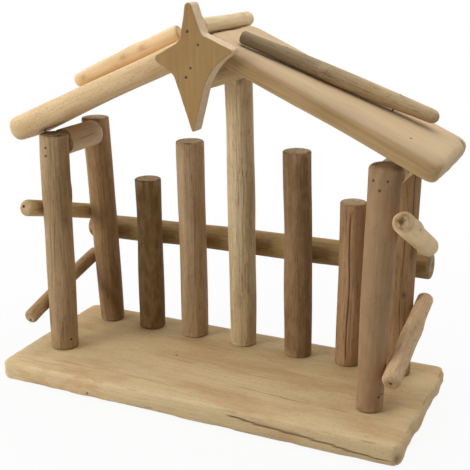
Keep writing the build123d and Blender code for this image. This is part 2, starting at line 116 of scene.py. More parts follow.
def addCamera(view):
    azimuth, elevation, roll = (math.radians(view[k]) for k in ("azimuth", "elevation", "roll"))
    flat = math.cos(elevation)
    back = Vector((math.sin(azimuth) * flat, -math.cos(azimuth) * flat, math.sin(elevation)))
    level = Vector((math.cos(azimuth), math.sin(azimuth), 0))
    rise = level.cross(-back)
    across = math.cos(roll) * level + math.sin(roll) * rise
    upward = -math.sin(roll) * level + math.cos(roll) * rise
    lens = bpy.data.cameras.new("photoCamera")
    lens.sensor_fit = "HORIZONTAL"
    lens.sensor_width = view["sensorWidth"]
    lens.lens = view["focalPixels"] / view["imagePixels"] * lens.sensor_width
    lens.clip_start = view["clipStart"]
    camera = putInScene("photoCamera", lens)
    turn = Matrix((across, upward, back)).transposed().to_4x4()
    camera.matrix_world = Matrix.Translation(Vector(view["place"])) @ turn
    bpy.context.scene.camera = camera


addCamera(photoView)
bpy.context.scene.view_settings.view_transform = "Standard"


# CAD nodes, as they are measured

def nodeTriangles(node):
    # the node's points, then each triangle's middle, normal and area
    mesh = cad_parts[node].data
    mesh.calc_loop_triangles()
    points = np.empty(len(mesh.vertices) * 3, np.float32)
    mesh.vertices.foreach_get("co", points)
    corners = np.empty(len(mesh.loop_triangles) * 3, np.int32)
    mesh.loop_triangles.foreach_get("vertices", corners)
    points = points.reshape(-1, 3).astype(float)
    a, b, c = points[corners.reshape(-1, 3)].transpose(1, 0, 2)
    cross = np.cross(b - a, c - a)
    size = np.linalg.norm(cross, axis=1)
    return points, (a + b + c) / 3, cross / np.maximum(size, tiny)[:, None], size / 2


def middleAndWay(centres, areas, counted=(1, 1, 1)):
    # the middle of the surface, and the way in which it is longest
    middle = (centres * areas[:, None]).sum(0) / areas.sum()
    shifted = (centres - middle) * counted
    return middle, np.linalg.eigh((shifted * areas[:, None]).T @ shifted)[1][:, 2]


def nodeShell(node):
    shell = bmesh.new()
    shell.from_mesh(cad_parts[node].data)
    return shell


def weldedShell(node):
    shell = nodeShell(node)
    bmesh.ops.remove_doubles(shell, verts=shell.verts, dist=weldGap)
    shell.verts.index_update()
    return shell


def nodeTree(node):
    shell = nodeShell(node)
    tree = BVHTree.FromBMesh(shell)
    shell.free()
    return tree


bradNodes = [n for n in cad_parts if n.endswith(("brads", "nails"))]
woodTrees = {n: nodeTree(n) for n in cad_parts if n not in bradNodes}


# Brads: where each one is, and which end shows

bradSearch = {"backOff": 0.1 * mm, "sight": 20 * mm, "open": 1.0}


def islands(shell):
    # the points of each separate solid
    seen = set()
    for first in shell.verts:
        if first.index in seen:
            continue
        seen.add(first.index)
        queue = [first]
        island = []
        while queue:
            vert = queue.pop()
            island.append(vert.co[:])
            for edge in vert.link_edges:
                other = edge.other_vert(vert)
                if other.index not in seen:
                    seen.add(other.index)
                    queue.append(other)
        yield np.array(island)


def clearWay(end, outward):
    # how far it is from a brad's end to the next wood
    ray = (Vector(end - outward * bradSearch["backOff"]), Vector(outward), bradSearch["sight"])
    hits = [tree.ray_cast(*ray)[3] for tree in woodTrees.values()]
    return min((h for h in hits if h is not None), default=bradSearch["open"])


def findBrads(node):
    shell = weldedShell(node)
    found = []
    for points in islands(shell):
        middle = (points.max(0) + points.min(0)) / 2
        axis = np.linalg.svd(points - points.mean(0), full_matrices=False)[2][0]
        along = (points - middle) @ axis
        ends = [middle + axis * along.min(), middle + axis * along.max()]
        if clearWay(ends[0], -axis) < clearWay(ends[1], axis):
            ends.reverse()
        found.append(ends)
    shell.free()
    return found


brads = {n: findBrads(n) for n in bradNodes}  # head and tip
bradHeads = [(head, unit(head - tip)) for group in brads.values() for head, tip in group]  # head and way out
print("brads:", {n: len(b) for n, b in brads.items()})


# Sunk brads: the pit over each head

pit = {
    "radius": 0.85 * mm, "extra": 0.25 * mm, "floor": 0.62, "rim": 1.05, "stainRim": 1.25,
    "stickCore": 0.7, "lipHeight": 0.07 * mm, "lipAt": 1.35, "lipWidth": 0.3,  # in sticks
    "boardCore": 0.85, "boardStain": 0.9, "facing": 0.5,  # in boards
    "below": 1 * mm, "above": 2.6 * mm, "deepest": 2.2 * mm,
}


def pitShape(far):
    return 1 - ease(pit["floor"] * pit["radius"], pit["rim"] * pit["radius"], far)


def pitStain(far, core):
    return 1 - ease(core * pit["radius"], pit["stainRim"] * pit["radius"], far)


def fromLine(points, head, outward):
    # height over a brad's head, and distance from its line
    offset = points - head
    rise = offset @ outward
    return rise, np.linalg.norm(offset - np.outer(rise, outward), axis=1)


# Wood finish

grainScales = {  # turns per metre across and along the grain, detail, roughness
    "fine": (860, 15, 3, 0.7), "bands": (170, 3.5, 2, 0.5), "mottle": (42, 15, 3, 0.5),
    "flecks": (1300, 100, 2, 0.6), "specks": (860, 520, 2, 0.6), "wear": (240, 90, 2, 0.5),
    "crackLines": (380, 7, 1, 0.5), "crackRuns": (90, 24, 1, 0.5), "sawn": (620, 620, 3, 0.5),
}


def paint(red, green, blue):
    # a screen colour as linear light
    def linear(v):
        return ((v / 255 + 0.055) / 1.055) ** 2.4 if v > 10 else v / 255 / 12.92
    return (linear(red), linear(green), linear(blue), 1)


def shades(red, green, blue, depth=0.30):
    # the middle colour with a darker and a lighter one of the same cast
    middle = paint(red, green, blue)
    lightening = 0.8
    dark = tuple(v * (1 - depth) for v in middle[:3]) + (1,)
    light = tuple(v * (1 + depth * lightening) for v in middle[:3]) + (1,)
    return {"dark": dark, "middle": middle, "light": light}


brownLook = {
    **shades(164, 130, 92), "spread": 0.20, "fineShare": 0.78, "cast": paint(236, 231, 224),
    "mottleWindow": (0.42, 0.66), "driftTurns": 28.0, "wander": 0.0035, "shift": (0, 0, 0),
    "fleck": paint(92, 67, 43), "fleckFrom": 0.58, "fleckWidth": 0.08, "fleckDepth": 0.45,
    "speckle": 0.18, "speckWindow": (0.54, 0.70),
    "crack": paint(76, 53, 33), "crackFrom": 0.55, "crackWidth": 0.08, "crackDepth": 0.4,
    "crackWindow": (0.016, 0.003),
    "cutDark": paint(108, 84, 55), "cutLight": paint(156, 130, 94), "cutWindow": (0.25, 0.8),
    "ringTurns": 4200.0, "ringDepth": 0.10,
    "worn": paint(190, 160, 120), "wornFrom": 0.40, "wornWidth": 0.22, "stain": paint(52, 35, 21),
    "bump": 0.4, "bumpDistance": 0.4 * mm, "roughness": (0.60, 0.82), "specular": 0.3,
}
paleLook = dict(
    brownLook, **shades(206, 177, 132, 0.2), speckle=0.1, fleck=paint(146, 112, 72),
    crack=paint(140, 106, 70), worn=paint(222, 199, 160), stain=paint(84, 58, 34),
    cutDark=paint(186, 156, 112), cutLight=paint(212, 187, 146), fleckFrom=0.69, crackFrom=0.6, bump=0.3)


def lookOf(base, seed, **changes):
    # each piece is cut from another place in the noise
    chance = np.random.default_rng(seed)
    return dict(base, shift=tuple(chance.random(3) * 40), **changes)


def nodeMaker(tree):
    def make(kind, inputs=None, **settings):
        node = tree.nodes.new(kind)
        for key, value in settings.items():
            setattr(node, key, value)
        for key, value in (inputs or {}).items():
            if isinstance(value, bpy.types.NodeSocket):
                tree.links.new(value, node.inputs[key])
            else:
                node.inputs[key].default_value = value
        return node
    return make


def newFinish(name):
    material = bpy.data.materials.new(name)
    material.use_nodes = True
    material.node_tree.nodes.clear()
    return material, nodeMaker(material.node_tree)


def woodFinish(name, look):
    material, make = newFinish(name)

    def value(key):
        return make("ShaderNodeAttribute", attribute_name=key).outputs["Fac"]

    def figure(kind, *terms):
        return make("ShaderNodeMath", dict(enumerate(terms)), operation=kind).outputs[0]

    def vector(kind, inputs):
        return make("ShaderNodeVectorMath", inputs, operation=kind).outputs[0]

    def noise(place, key):
        across, along, detail, rough = grainScales[key]
        spread = make("ShaderNodeMapping", {
            "Vector": place, "Location": look["shift"], "Scale": (across, across, along)}).outputs[0]
        return make("ShaderNodeTexNoise", {
            "Vector": spread, "Scale": 1.0, "Detail": detail, "Roughness": rough}).outputs["Fac"]

    def blend(share, first, second, kind="MIX"):
        mix = make("ShaderNodeMix", {0: share, 6: first, 7: second}, data_type="RGBA", blend_type=kind)
        return mix.outputs[2]

    def window(share, low, high):
        return make("ShaderNodeMapRange", {"Value": share, "From Min": low, "From Max": high},
                    interpolation_type="SMOOTHSTEP").outputs[0]

    def above(share, key):
        return window(share, look[key + "From"], look[key + "From"] + look[key + "Width"])

    # the grain runs along z of the piece's own grain attribute, and wanders a little
    grain = make("ShaderNodeAttribute", attribute_name="grain").outputs["Vector"]
    drift = make("ShaderNodeTexNoise", {"Vector": grain, "Scale": look["driftTurns"], "Detail": 1.0})
    centred = vector("SUBTRACT", {0: drift.outputs["Color"], 1: (0.5, 0.5, 0.5)})
    place = vector("ADD", {0: grain, 1: vector("SCALE", {0: centred, "Scale": look["wander"]})})

    fine = noise(place, "fine")
    bands = noise(place, "bands")
    flecks = above(noise(place, "flecks"), "fleck")
    crackGap = figure("ABSOLUTE", figure("SUBTRACT", noise(place, "crackLines"), 0.5))
    crackRuns = above(noise(grain, "crackRuns"), "crack")
    cracks = figure("MULTIPLY", window(crackGap, *look["crackWindow"]), crackRuns)

    tone = figure("ADD", figure("MULTIPLY", fine, look["fineShare"]),
                  figure("MULTIPLY", bands, 1 - look["fineShare"]))
    ramp = make("ShaderNodeValToRGB", {"Fac": tone})
    stops = ramp.color_ramp.elements
    stops[0].position, stops[0].color = 0.5 - look["spread"], look["dark"]
    stops[1].position, stops[1].color = 0.5 + look["spread"], look["light"]
    stops.new(0.5).color = look["middle"]
    mottle = window(noise(grain, "mottle"), *look["mottleWindow"])
    colour = blend(mottle, ramp.outputs[0], look["cast"], "MULTIPLY")
    colour = blend(figure("MULTIPLY", flecks, look["fleckDepth"]), colour, look["fleck"])
    colour = blend(figure("MULTIPLY", cracks, look["crackDepth"]), colour, look["crack"])
    specks = window(noise(grain, "specks"), *look["speckWindow"])
    colour = blend(figure("MULTIPLY", specks, look["speckle"]), colour, look["fleck"])

    # sawn ends show rings; worn places and painted light are paler; stains and painted shade lie over all
    flat = vector("MULTIPLY", {0: place, 1: (1, 1, 0)})
    fromPith = make("ShaderNodeVectorMath", {0: flat}, operation="LENGTH").outputs["Value"]
    rings = figure("SINE", figure("MULTIPLY", fromPith, look["ringTurns"]))
    cutTone = figure("ADD", figure("MULTIPLY", rings, look["ringDepth"]), noise(grain, "sawn"))
    cutColour = blend(window(cutTone, *look["cutWindow"]), look["cutDark"], look["cutLight"])
    colour = blend(value("cut"), colour, cutColour)
    # on some pieces the worn colour also paints light, and the stain colour also paints shade
    worn = figure("MULTIPLY", value("wear"), above(noise(grain, "wear"), "worn"))
    colour = blend(worn, colour, look["worn"])
    colour = blend(value("stain"), colour, look["stain"])

    raised = figure("ADD", fine, figure("MULTIPLY", bands, 0.6))
    sunk = figure("ADD", figure("MULTIPLY", cracks, 1.2), figure("MULTIPLY", flecks, 0.5))
    bump = make("ShaderNodeBump", {"Height": figure("SUBTRACT", raised, sunk),
                                   "Strength": look["bump"], "Distance": look["bumpDistance"]})
    smoothest, roughest = look["roughness"]
    rough = make("ShaderNodeMapRange", {"Value": fine, "To Min": smoothest, "To Max": roughest})
    shader = make("ShaderNodeBsdfPrincipled", {
        "Base Color": colour, "Roughness": rough.outputs[0], "Normal": bump.outputs[0],
        "Specular IOR Level": look["specular"]})
    make("ShaderNodeOutputMaterial", {"Surface": shader.outputs[0]})
    return material


# Pieces: a mesh with its grain, stain and painted shade, cut, and wear and painted light at each point

def giveValues(mesh, key, data):
    kind, field = ("FLOAT_VECTOR", "vector") if data.ndim == 2 else ("FLOAT", "value")
    mesh.attributes.new(key, kind, "POINT").data.foreach_set(field, data.astype(np.float32).ravel())


def keepPiece(piece, node, slot):
    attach(piece, "root")
    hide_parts(node)


def addPiece(spec, points, faces, values):
    mesh = bpy.data.meshes.new(spec["name"])
    mesh.from_pydata(points.tolist(), [], faces)
    mesh.update()
    for key, data in values.items():
        giveValues(mesh, key, data)
    mesh.polygons.foreach_set("use_smooth", np.ones(len(mesh.polygons), bool))
    mesh.materials.append(woodFinish(spec["name"] + "Wood", spec["look"]))
    keepPiece(putInScene(spec["name"], mesh), spec["node"], spec["slot"])
    print(spec["name"], "faces", len(faces))


def gridQuads(grid):
    return np.stack([grid[:-1, :-1], grid[1:, :-1], grid[1:, 1:], grid[:-1, 1:]], -1).reshape(-1, 4)


def around(spots, steps, reach):
    return [spot + sign * v * reach for spot in spots for v in steps for sign in (-1, 1)]


def meshLines(low, high, step, gap, marks):
    # even lines and the marked ones, none closer together than the gap
    lines = list(np.linspace(low, high, max(1, round((high - low) / step)) + 1))
    lines = sorted(lines + [mark for mark in marks if low < mark < high])
    kept = [lines[0]]
    for line in lines[1:-1]:
        if line - kept[-1] > gap and lines[-1] - line > gap:
            kept.append(line)
    return kept + [lines[-1]]


# Sticks: each is a ring mesh along the line measured on its CAD node

stickProbe = {"capFacing": 0.97, "capReach": 0.85, "stations": (0.06, 0.94, 9), "rays": 28,
              "outside": 40 * mm, "tolerance": 0.08 * mm, "rounds": 3}


def stickEnd(side, centres, normals, areas, along, facing):
    # middle and normal of the sawn face at one end
    cap = (facing * side > stickProbe["capFacing"])
    cap &= along * side > stickProbe["capReach"] * (along * side).max()
    weight = areas[cap][:, None]
    return (centres[cap] * weight).sum(0) / weight.sum(), unit((normals[cap] * weight).sum(0))


def stickCircle(node, origin, first, second):
    # circle by least squares, without what falls into a bore
    spots = []
    outside = stickProbe["outside"]
    for angle in np.arange(0, fullTurn, fullTurn / stickProbe["rays"]):
        heading = first * math.cos(angle) + second * math.sin(angle)
        # from outside inwards, so that a bore along the axis isn't met first
        ray = (Vector(origin + heading * outside), Vector(-heading), outside)
        distance = woodTrees[node].ray_cast(*ray)[3]
        if distance is not None:
            spots.append(((outside - distance) * math.cos(angle), (outside - distance) * math.sin(angle)))
    spots = np.array(spots)
    for _ in range(stickProbe["rounds"]):
        terms = np.c_[2 * spots, np.ones(len(spots))]
        x, y, rest = np.linalg.lstsq(terms, (spots ** 2).sum(1), rcond=None)[0]
        radius = math.sqrt(rest + x ** 2 + y ** 2)
        error = np.abs(np.linalg.norm(spots - (x, y), axis=1) - radius)
        spots = spots[error <= max(np.median(error) * 3, stickProbe["tolerance"])]
    return x, y, radius


def measureStick(node):
    _, centres, normals, areas = nodeTriangles(node)
    middle, axis = middleAndWay(centres, areas)
    axis *= np.sign(axis @ (1, 1.5, 4))  # from low to high, or else to the back or the right
    along, facing = (centres - middle) @ axis, normals @ axis
    start, startNormal = stickEnd(-1, centres, normals, areas, along, facing)
    end, endNormal = stickEnd(1, centres, normals, areas, along, facing)
    length = np.linalg.norm(end - start)
    axis = (end - start) / length
    level = np.array((0, 0, 1.0)) if abs(axis[1]) > 0.6 else np.array((0, -1.0, 0))
    first = unit(level - axis * (level @ axis))
    second = np.cross(axis, first)
    shares = np.linspace(*stickProbe["stations"])
    rows = np.array([stickCircle(node, start + axis * length * share, first, second) for share in shares])
    return {
        "start": start, "axis": axis, "first": first, "second": second, "length": length,
        "lineA": np.polyfit(shares, rows[:, 0], 2), "lineB": np.polyfit(shares, rows[:, 1], 2),
        "radius": np.polyfit(shares, rows[:, 2], 3), "normals": (startNormal, endNormal),
    }


headSearch = {"ends": 0.005, "above": 0.5 * mm, "below": 3 * mm, "least": 0.6 * mm, "facing": 0.6}


def bradsOn(rod):
    # heads just under this stick's surface: place along it, turn round it, depth
    found = []
    for head, outward in bradHeads:
        offset = head - rod["start"]
        along = offset @ rod["axis"]
        share = along / rod["length"]
        if not headSearch["ends"] < share < 1 - headSearch["ends"]:
            continue
        a = offset @ rod["first"] - np.polyval(rod["lineA"], share)
        b = offset @ rod["second"] - np.polyval(rod["lineB"], share)
        depth = np.polyval(rod["radius"], share) - math.hypot(a, b)
        radial = (rod["first"] * a + rod["second"] * b) / math.hypot(a, b)
        if -headSearch["above"] < depth < headSearch["below"] and outward @ radial > headSearch["facing"]:
            found.append((along, math.atan2(b, a), max(depth, headSearch["least"])))
    return found


# what a stick has unless its own dictionary says otherwise, in mm and degrees
plainStick = {
    "slot": "brown_wood", "rough": 1.0, "waver": 0.20, "dusk": 0.0,
    # rim: a darker ring on each rounded end, partly its own stain and partly painted contact shadow
    "rounding": (1.3, 1.3), "rim": (1.2, 1.2),  # at the start and the end
    "knots": [], "knotStain": 0.55,  # share of the length, turn, rise, size
    "splits": [], "splitStain": 0.8,  # from and to share, turn, width, depth
    "pinholes": [], "holeStain": 0.85,  # share, turn
    "pith": ((0.1, 0.05), (-0.08, 0.1)), "pithDeep": (0.0, 0.0), "pithWide": 1.2,
}
stickMesh = {
    "columns": 84, "step": 1.9 * mm, "closest": 0.12, "leastTurn": 0.004,
    "holeSteps": (0, 0.3, 0.55, 0.75, 0.9, 1.15, 1.5),
    "splitSteps": (-1.2, -0.6, -0.25, 0, 0.25, 0.6, 1.2),
    "capSteps": (0.03, 0.09, 0.17, 0.28, 0.4, 0.52, 0.64, 0.76, 0.87, 0.95),
    "quarter": np.radians([0, 20, 42, 66, 90]),
}
onStart, onEnd, onSide = 0, 1, 2  # regions of a stick
stickForms = {
    "duskRun": (0.25, 0.85), "knotRound": 0.8, "eyeDepth": 0.35, "eyeSize": 0.32, "knotStainSize": 0.55,
    "splitSway": 0.05, "splitSwayTurns": 90, "splitFade": 12 * mm, "splitStainRun": (0.15, 0.7),
    "fineRelief": 0.055, "middleRelief": 0.06, "deepest": -0.55 * mm, "highest": 0.35 * mm,
    "endRelief": 0.75, "sawRelief": 0.07 * mm, "pinholeDepth": 1.1 * mm,
    "pithWall": (0.45, 1.1), "pithStainRun": (0.7, 1.25), "pithStain": 0.9, "cutTurn": 0.25,
    "rimStain": 0.45, "rimSwing": 0.35, "rimMost": 0.9,
    "sideWear": 0.175, "handledWear": 0.525, "handledReach": 4 * mm, "endWear": 0.42,
}


def stickAngles(meanRadius, holes, splits):
    reach = pit["radius"] / meanRadius
    marks = around([turn % fullTurn for _, turn, _ in holes], stickMesh["holeSteps"], reach)
    step = fullTurn / stickMesh["columns"]
    angles = meshLines(0, fullTurn, step, stickMesh["closest"] * reach, marks)
    for _, _, turn, wide, _ in splits:
        angles += [turn % fullTurn + k * wide / meanRadius for k in stickMesh["splitSteps"]]
    angles = np.unique(np.round(np.array(angles) % fullTurn, 6))
    return angles[np.concatenate([[True], np.diff(angles) > stickMesh["leastTurn"]])]


def stickRings(length, rounding, holes):
    # each ring: place along the stick, inset, share of the radius, region
    start, end = rounding
    margin = max(rounding) * 1.02
    reach = pit["radius"]
    marks = around([along for along, _, _ in holes], stickMesh["holeSteps"], reach)
    sides = meshLines(margin, length - margin, stickMesh["step"], stickMesh["closest"] * reach, marks)
    caps = stickMesh["capSteps"]
    quarter = [(1 - math.cos(q), 1 - math.sin(q)) for q in stickMesh["quarter"]]
    rings = [(0.0, start, share, onStart) for share in caps]
    rings += [(start * on, start * away, 1.0, onStart) for on, away in quarter]
    rings += [(s, 0.0, 1.0, onSide) for s in sides if start < s < length - end]
    rings += [(length - end * on, end * away, 1.0, onEnd) for on, away in quarter[::-1]]
    rings += [(length, end, share, onEnd) for share in caps[::-1]]
    return np.array(rings)


def stickMarks(spec, length, holes, splits, s, angle, radius):
    # how far knots, splits and sunk brads lift the skin, and how dark they are, with any darkening towards
    # the end
    lift = np.zeros(len(s))
    forms = stickForms
    # darker towards the end of the stick; on the left top plate this is painted shade on its rear part
    stain = spec["dusk"] * ease(*forms["duskRun"], s / length)

    def away(turn):
        return np.angle(np.exp(1j * (angle - turn))) * radius

    for share, turn, rise, size in spec["knots"]:
        far = np.hypot((s - share * length) * forms["knotRound"], away(math.radians(turn))) / mm
        lift += rise * mm * bell(far, size)
        lift -= abs(rise) * mm * forms["eyeDepth"] * bell(far, size * forms["eyeSize"])
        stain = np.maximum(stain, spec["knotStain"] * bell(far, size * forms["knotStainSize"]))
    for low, high, turn, wide, deep in splits:
        gap = np.abs(away(turn + forms["splitSway"] * np.sin(s * forms["splitSwayTurns"] + spec["seed"])))
        dip = np.clip(1 - gap / wide, 0, 1) * between(low, high, forms["splitFade"], forms["splitFade"], s)
        lift -= deep * dip
        stain = np.maximum(stain, spec["splitStain"] * ease(*forms["splitStainRun"], dip))
    for along, turn, deep in holes:
        far = np.hypot(s - along, away(turn))
        lift -= (deep + pit["extra"]) * pitShape(far)
        lift += pit["lipHeight"] * bell(far / pit["radius"] - pit["lipAt"], pit["lipWidth"])
        stain = np.maximum(stain, spec["holeStain"] * pitStain(far, pit["stickCore"]))
    return lift, stain


def stickFaces(rows, columns):
    # quads round the rings, and a fan to the pole at each end
    grid = np.arange(rows * columns).reshape(rows, columns)
    grid = np.c_[grid, grid[:, :1]]
    faces = gridQuads(grid.T).tolist()
    first, last = grid[0].tolist(), grid[-1].tolist()
    faces += [(d, c, rows * columns) for c, d in zip(first, first[1:])]
    return faces + [(c, d, rows * columns + 1) for c, d in zip(last, last[1:])]


def makeStick(given):
    spec = {**plainStick, **given}
    seed = spec["seed"]
    rod = measureStick(spec["node"])
    length = rod["length"]
    meanRadius = np.polyval(rod["radius"], 0.5)
    forms = stickForms
    holes = bradsOn(rod)
    holes += [(share * length, math.radians(turn), forms["pinholeDepth"]) for share, turn in spec["pinholes"]]
    splits = [(low * length, high * length, math.radians(turn), wide * mm, deep * mm)
              for low, high, turn, wide, deep in spec["splits"]]
    rounding = np.array(spec["rounding"]) * mm
    angles = stickAngles(meanRadius, holes, splits)
    rings = stickRings(length, rounding, holes)
    columns = len(angles)
    s, inset, shrink, region = np.repeat(rings, columns, axis=0).T
    angle = np.tile(angles, len(rings))
    share = s / length
    end = np.where(region == onStart, 0, 1)
    radius = np.polyval(rod["radius"], share)

    # skin: local points go round the stick and along it
    local = np.c_[radius * np.cos(angle), radius * np.sin(angle), s]
    lift = relief(local, seed, [
        (14, 45, 14, 0.45, spec["waver"]),
        (260, 620, 26, 0.035, forms["fineRelief"] * spec["rough"]),
        (70, 170, 16, 0.12, forms["middleRelief"] * spec["rough"])])
    marks, stain = stickMarks(spec, length, holes, splits, s, angle, radius)
    lift = np.clip(lift, forms["deepest"], forms["highest"]) + marks
    reach = radius + lift * np.where(region == onSide, 1.0, forms["endRelief"]) - inset

    # sawn ends: round the pith, which may be a hole
    pith = np.array(spec["pith"])[end] * meanRadius
    a = pith[:, 0] * (1 - shrink) + reach * np.cos(angle) * shrink
    b = pith[:, 1] * (1 - shrink) + reach * np.sin(angle) * shrink
    onCap = (region != onSide) & (shrink < 1)
    grain = np.c_[a - pith[:, 0], b - pith[:, 1], s]
    fromPith = np.hypot(grain[:, 0], grain[:, 1]) / (spec["pithWide"] * mm)
    pithDeep = np.array(spec["pithDeep"])[end] * mm
    push = np.zeros(len(s))
    push[onCap] = waves(np.c_[a, b, s * 0][onCap], seed + 3, 120, 420, 12) * forms["sawRelief"]
    push -= np.where(onCap, pithDeep * (1 - ease(*forms["pithWall"], fromPith)), 0)
    pithStain = forms["pithStain"] * (1 - ease(*forms["pithStainRun"], fromPith))
    stain = np.maximum(stain, np.where(onCap & (pithDeep > 0), pithStain, 0))

    # ends keep the CAD node's own cut plane
    across = rod["first"] * a[:, None] + rod["second"] * b[:, None]
    tilts = [-(across @ normal) / (rod["axis"] @ normal) for normal in rod["normals"]]
    turn = forms["cutTurn"]
    place = s + tilts[0] * (1 - ease(0.0, turn, share)) + tilts[1] * ease(1 - turn, 1.0, share)
    place += push * np.where(region == onStart, -1.0, 1.0)
    bowA, bowB = np.polyval(rod["lineA"], share), np.polyval(rod["lineB"], share)
    points = rod["start"] + rod["axis"] * place[:, None] + across
    points += rod["first"] * bowA[:, None] + rod["second"] * bowB[:, None]

    cut = np.where(onCap, 1.0, np.where(region != onSide, np.clip(inset / rounding[end], 0, 1), 0.0))
    # a darker ring on the rounded end edges: partly the rim's stain, partly painted contact shadow where the
    # stick meets the next part
    onRim = (region != onSide) & (shrink == 1) & (inset > 0)
    rimStain = forms["rimStain"] + forms["rimSwing"] * waves(local, seed + 5, 60, 160, 8)
    rimStain = np.clip(rimStain, 0, forms["rimMost"]) * np.array(spec["rim"])[end]
    rimStain *= np.sin(np.clip(inset / rounding[0], 0, 1) * math.pi)
    stain = np.where(onRim, np.maximum(stain, rimStain), stain)
    handled = forms["handledWear"] * np.exp(-np.minimum(s, length - s) / forms["handledReach"])
    wear = np.where(region == onSide, forms["sideWear"] + handled, forms["endWear"])

    def withPoles(data):
        return np.concatenate([data, [data[:columns].mean(0)], [data[-columns:].mean(0)]])

    values = {"grain": grain, "stain": stain, "cut": cut, "wear": wear}
    addPiece(spec, withPoles(points), stickFaces(len(rings), columns),
             {key: withPoles(data) for key, data in values.items()})


frontLeftPost = {
    "name": "frontLeftPost", "node": "front_left_post", "seed": 11, "rough": 1.5, "waver": 0.26,
    "knots": [(0.729, 118, 0.9, 5.5), (0.62, 70, 0.3, 4.0), (0.327, 22, 0.12, 1.6)], "knotStain": 0.35,
    "splits": [(0.52, 0.86, 52, 0.35, 0.4), (0.36, 0.66, 16, 0.3, 0.3),
               (0.02, 0.3, 34, 0.3, 0.3), (0.1, 0.42, 60, 0.3, 0.25)], "splitStain": 0.4,
    "pinholes": [(0.051, 64)],
    "look": lookOf(brownLook, 1, **shades(170, 141, 103, 0.4), crackFrom=0.5),
}
makeStick(frontLeftPost)

frontRightPost = {
    "name": "frontRightPost", "node": "front_right_post", "seed": 23, "rough": 0.6, "waver": 0.22,
    "knots": [(0.5, 60, 0.2, 6)], "knotStain": 0.1, "pinholes": [(0.078, 71), (0.069, 53)],
    "holeStain": 0.25, "rounding": (1.3, 3.2), "rim": (0.6, 0.2),
    "look": lookOf(brownLook, 2, **shades(162, 130, 95, 0.14), fleckFrom=0.74, crackFrom=0.66, bump=0.2,
                   cutDark=paint(132, 104, 74), cutLight=paint(166, 136, 100)),
}
makeStick(frontRightPost)

rearLeftPost = {
    "name": "rearLeftPost", "node": "rear_left_post", "seed": 31, "rough": 1.2,
    "splits": [(0.3, 0.8, 20, 0.3, 0.3), (0.55, 0.95, 45, 0.3, 0.3)], "splitStain": 0.3,
    "look": lookOf(brownLook, 3, **shades(156, 122, 81, 0.38)),
}
makeStick(rearLeftPost)

rearRightPost = {
    "name": "rearRightPost", "node": "rear_right_post", "seed": 37, "rough": 1.3,
    "knots": [(0.384, 29, 0.45, 3.2), (0.2, 40, 0.2, 2.4)], "knotStain": 0.8,
    "splits": [(0.5, 0.97, 52, 0.4, 0.45), (0.05, 0.4, 40, 0.35, 0.35), (0.1, 0.75, 18, 0.35, 0.35)],
    "splitStain": 0.6,
    "look": lookOf(brownLook, 4, **shades(162, 127, 88, 0.36), stain=paint(66, 34, 20),
                   crack=paint(86, 50, 32), crackFrom=0.5),
}
makeStick(rearRightPost)

outerLeftPicket = {
    "name": "outerLeftPicket", "node": "outer_left_picket", "seed": 41, "rough": 0.9,
    "knots": [(0.57, 62, 0.2, 3), (0.33, 84, 0.15, 2)], "knotStain": 0.4,
    "look": lookOf(brownLook, 5, **shades(128, 98, 53, 0.3)),
}
makeStick(outerLeftPicket)

innerLeftPicket = {
    "name": "innerLeftPicket", "node": "inner_left_picket", "seed": 43, "rough": 1.1,
    "splits": [(0.3, 0.9, 38, 0.3, 0.3)], "splitStain": 0.3,
    "look": lookOf(brownLook, 6, **shades(183, 155, 119, 0.38)),
}
makeStick(innerLeftPicket)

kingPost = {
    "name": "kingPost", "node": "king_post", "seed": 47, "rough": 1.1,
    "knots": [(0.985, 31, 0.5, 3.0), (0.71, 33, 0.12, 1.6)],
    "splits": [(0.2, 0.72, 32, 0.3, 0.3), (0.5, 0.95, 12, 0.3, 0.25)], "splitStain": 0.35,
    "look": lookOf(brownLook, 7, **shades(219, 196, 156, 0.38)),
}
makeStick(kingPost)

innerRightPicket = {
    "name": "innerRightPicket", "node": "inner_right_picket", "seed": 53, "rough": 1.1,
    "splits": [(0.1, 0.7, 20, 0.3, 0.3)], "splitStain": 0.3,
    "look": lookOf(brownLook, 8, **shades(145, 114, 78, 0.34)),
}
makeStick(innerRightPicket)

outerRightPicket = {
    "name": "outerRightPicket", "node": "outer_right_picket", "seed": 59, "rough": 1.2,
    "knots": [(0.78, -45, 0.3, 2.0)],
    "splits": [(0.0, 0.99, 7, 0.9, 0.7), (0.3, 0.6, 44, 0.25, 0.12)], "splitStain": 0.7,
    "look": lookOf(brownLook, 9, **shades(175, 138, 99, 0.34), stain=paint(84, 46, 28), wander=0.002,
                   cutDark=paint(144, 118, 84), cutLight=paint(188, 162, 124)),
}
makeStick(outerRightPicket)

backRail = {
    "name": "backRail", "node": "back_rail", "seed": 61, "waver": 0.25,
    "knots": [(0.18, 20, 0.25, 4)], "knotStain": 0.3, "rounding": (2.6, 2.2), "rim": (0.2, 0.3),
    "look": lookOf(brownLook, 10, **shades(162, 132, 83, 0.26)),
}
makeStick(backRail)

leftSideRail = {
    "name": "leftSideRail", "node": "left_side_rail", "seed": 67, "rounding": (2.6, 2.2), "rim": (0.2, 0.3),
    "pith": ((0.12, -0.3), (0, 0.1)), "pithDeep": (1.4, 0.5), "pithWide": 0.9,
    "look": lookOf(brownLook, 12, **shades(207, 176, 126),
                   cutDark=paint(168, 138, 98), cutLight=paint(202, 176, 134)),
}
makeStick(leftSideRail)

rightSideRail = {
    "name": "rightSideRail", "node": "right_side_rail", "seed": 71, "waver": 0.3,
    "knots": [(0.12, 40, 0.9, 4.0), (0.66, 30, 2.0, 6.0), (0.7, -70, 1.2, 6.0)], "knotStain": 0.08,
    "rounding": (1.8, 3.0), "rim": (0.3, 0.2),
    "pith": ((0.1, 0.12), (0, 0.1)), "pithDeep": (1.6, 0.3), "pithWide": 1.6,
    "look": lookOf(paleLook, 13, **shades(234, 204, 158, 0.16), ringTurns=2400.0,
                   cutDark=paint(122, 90, 52), cutLight=paint(176, 142, 96)),
}
makeStick(rightSideRail)

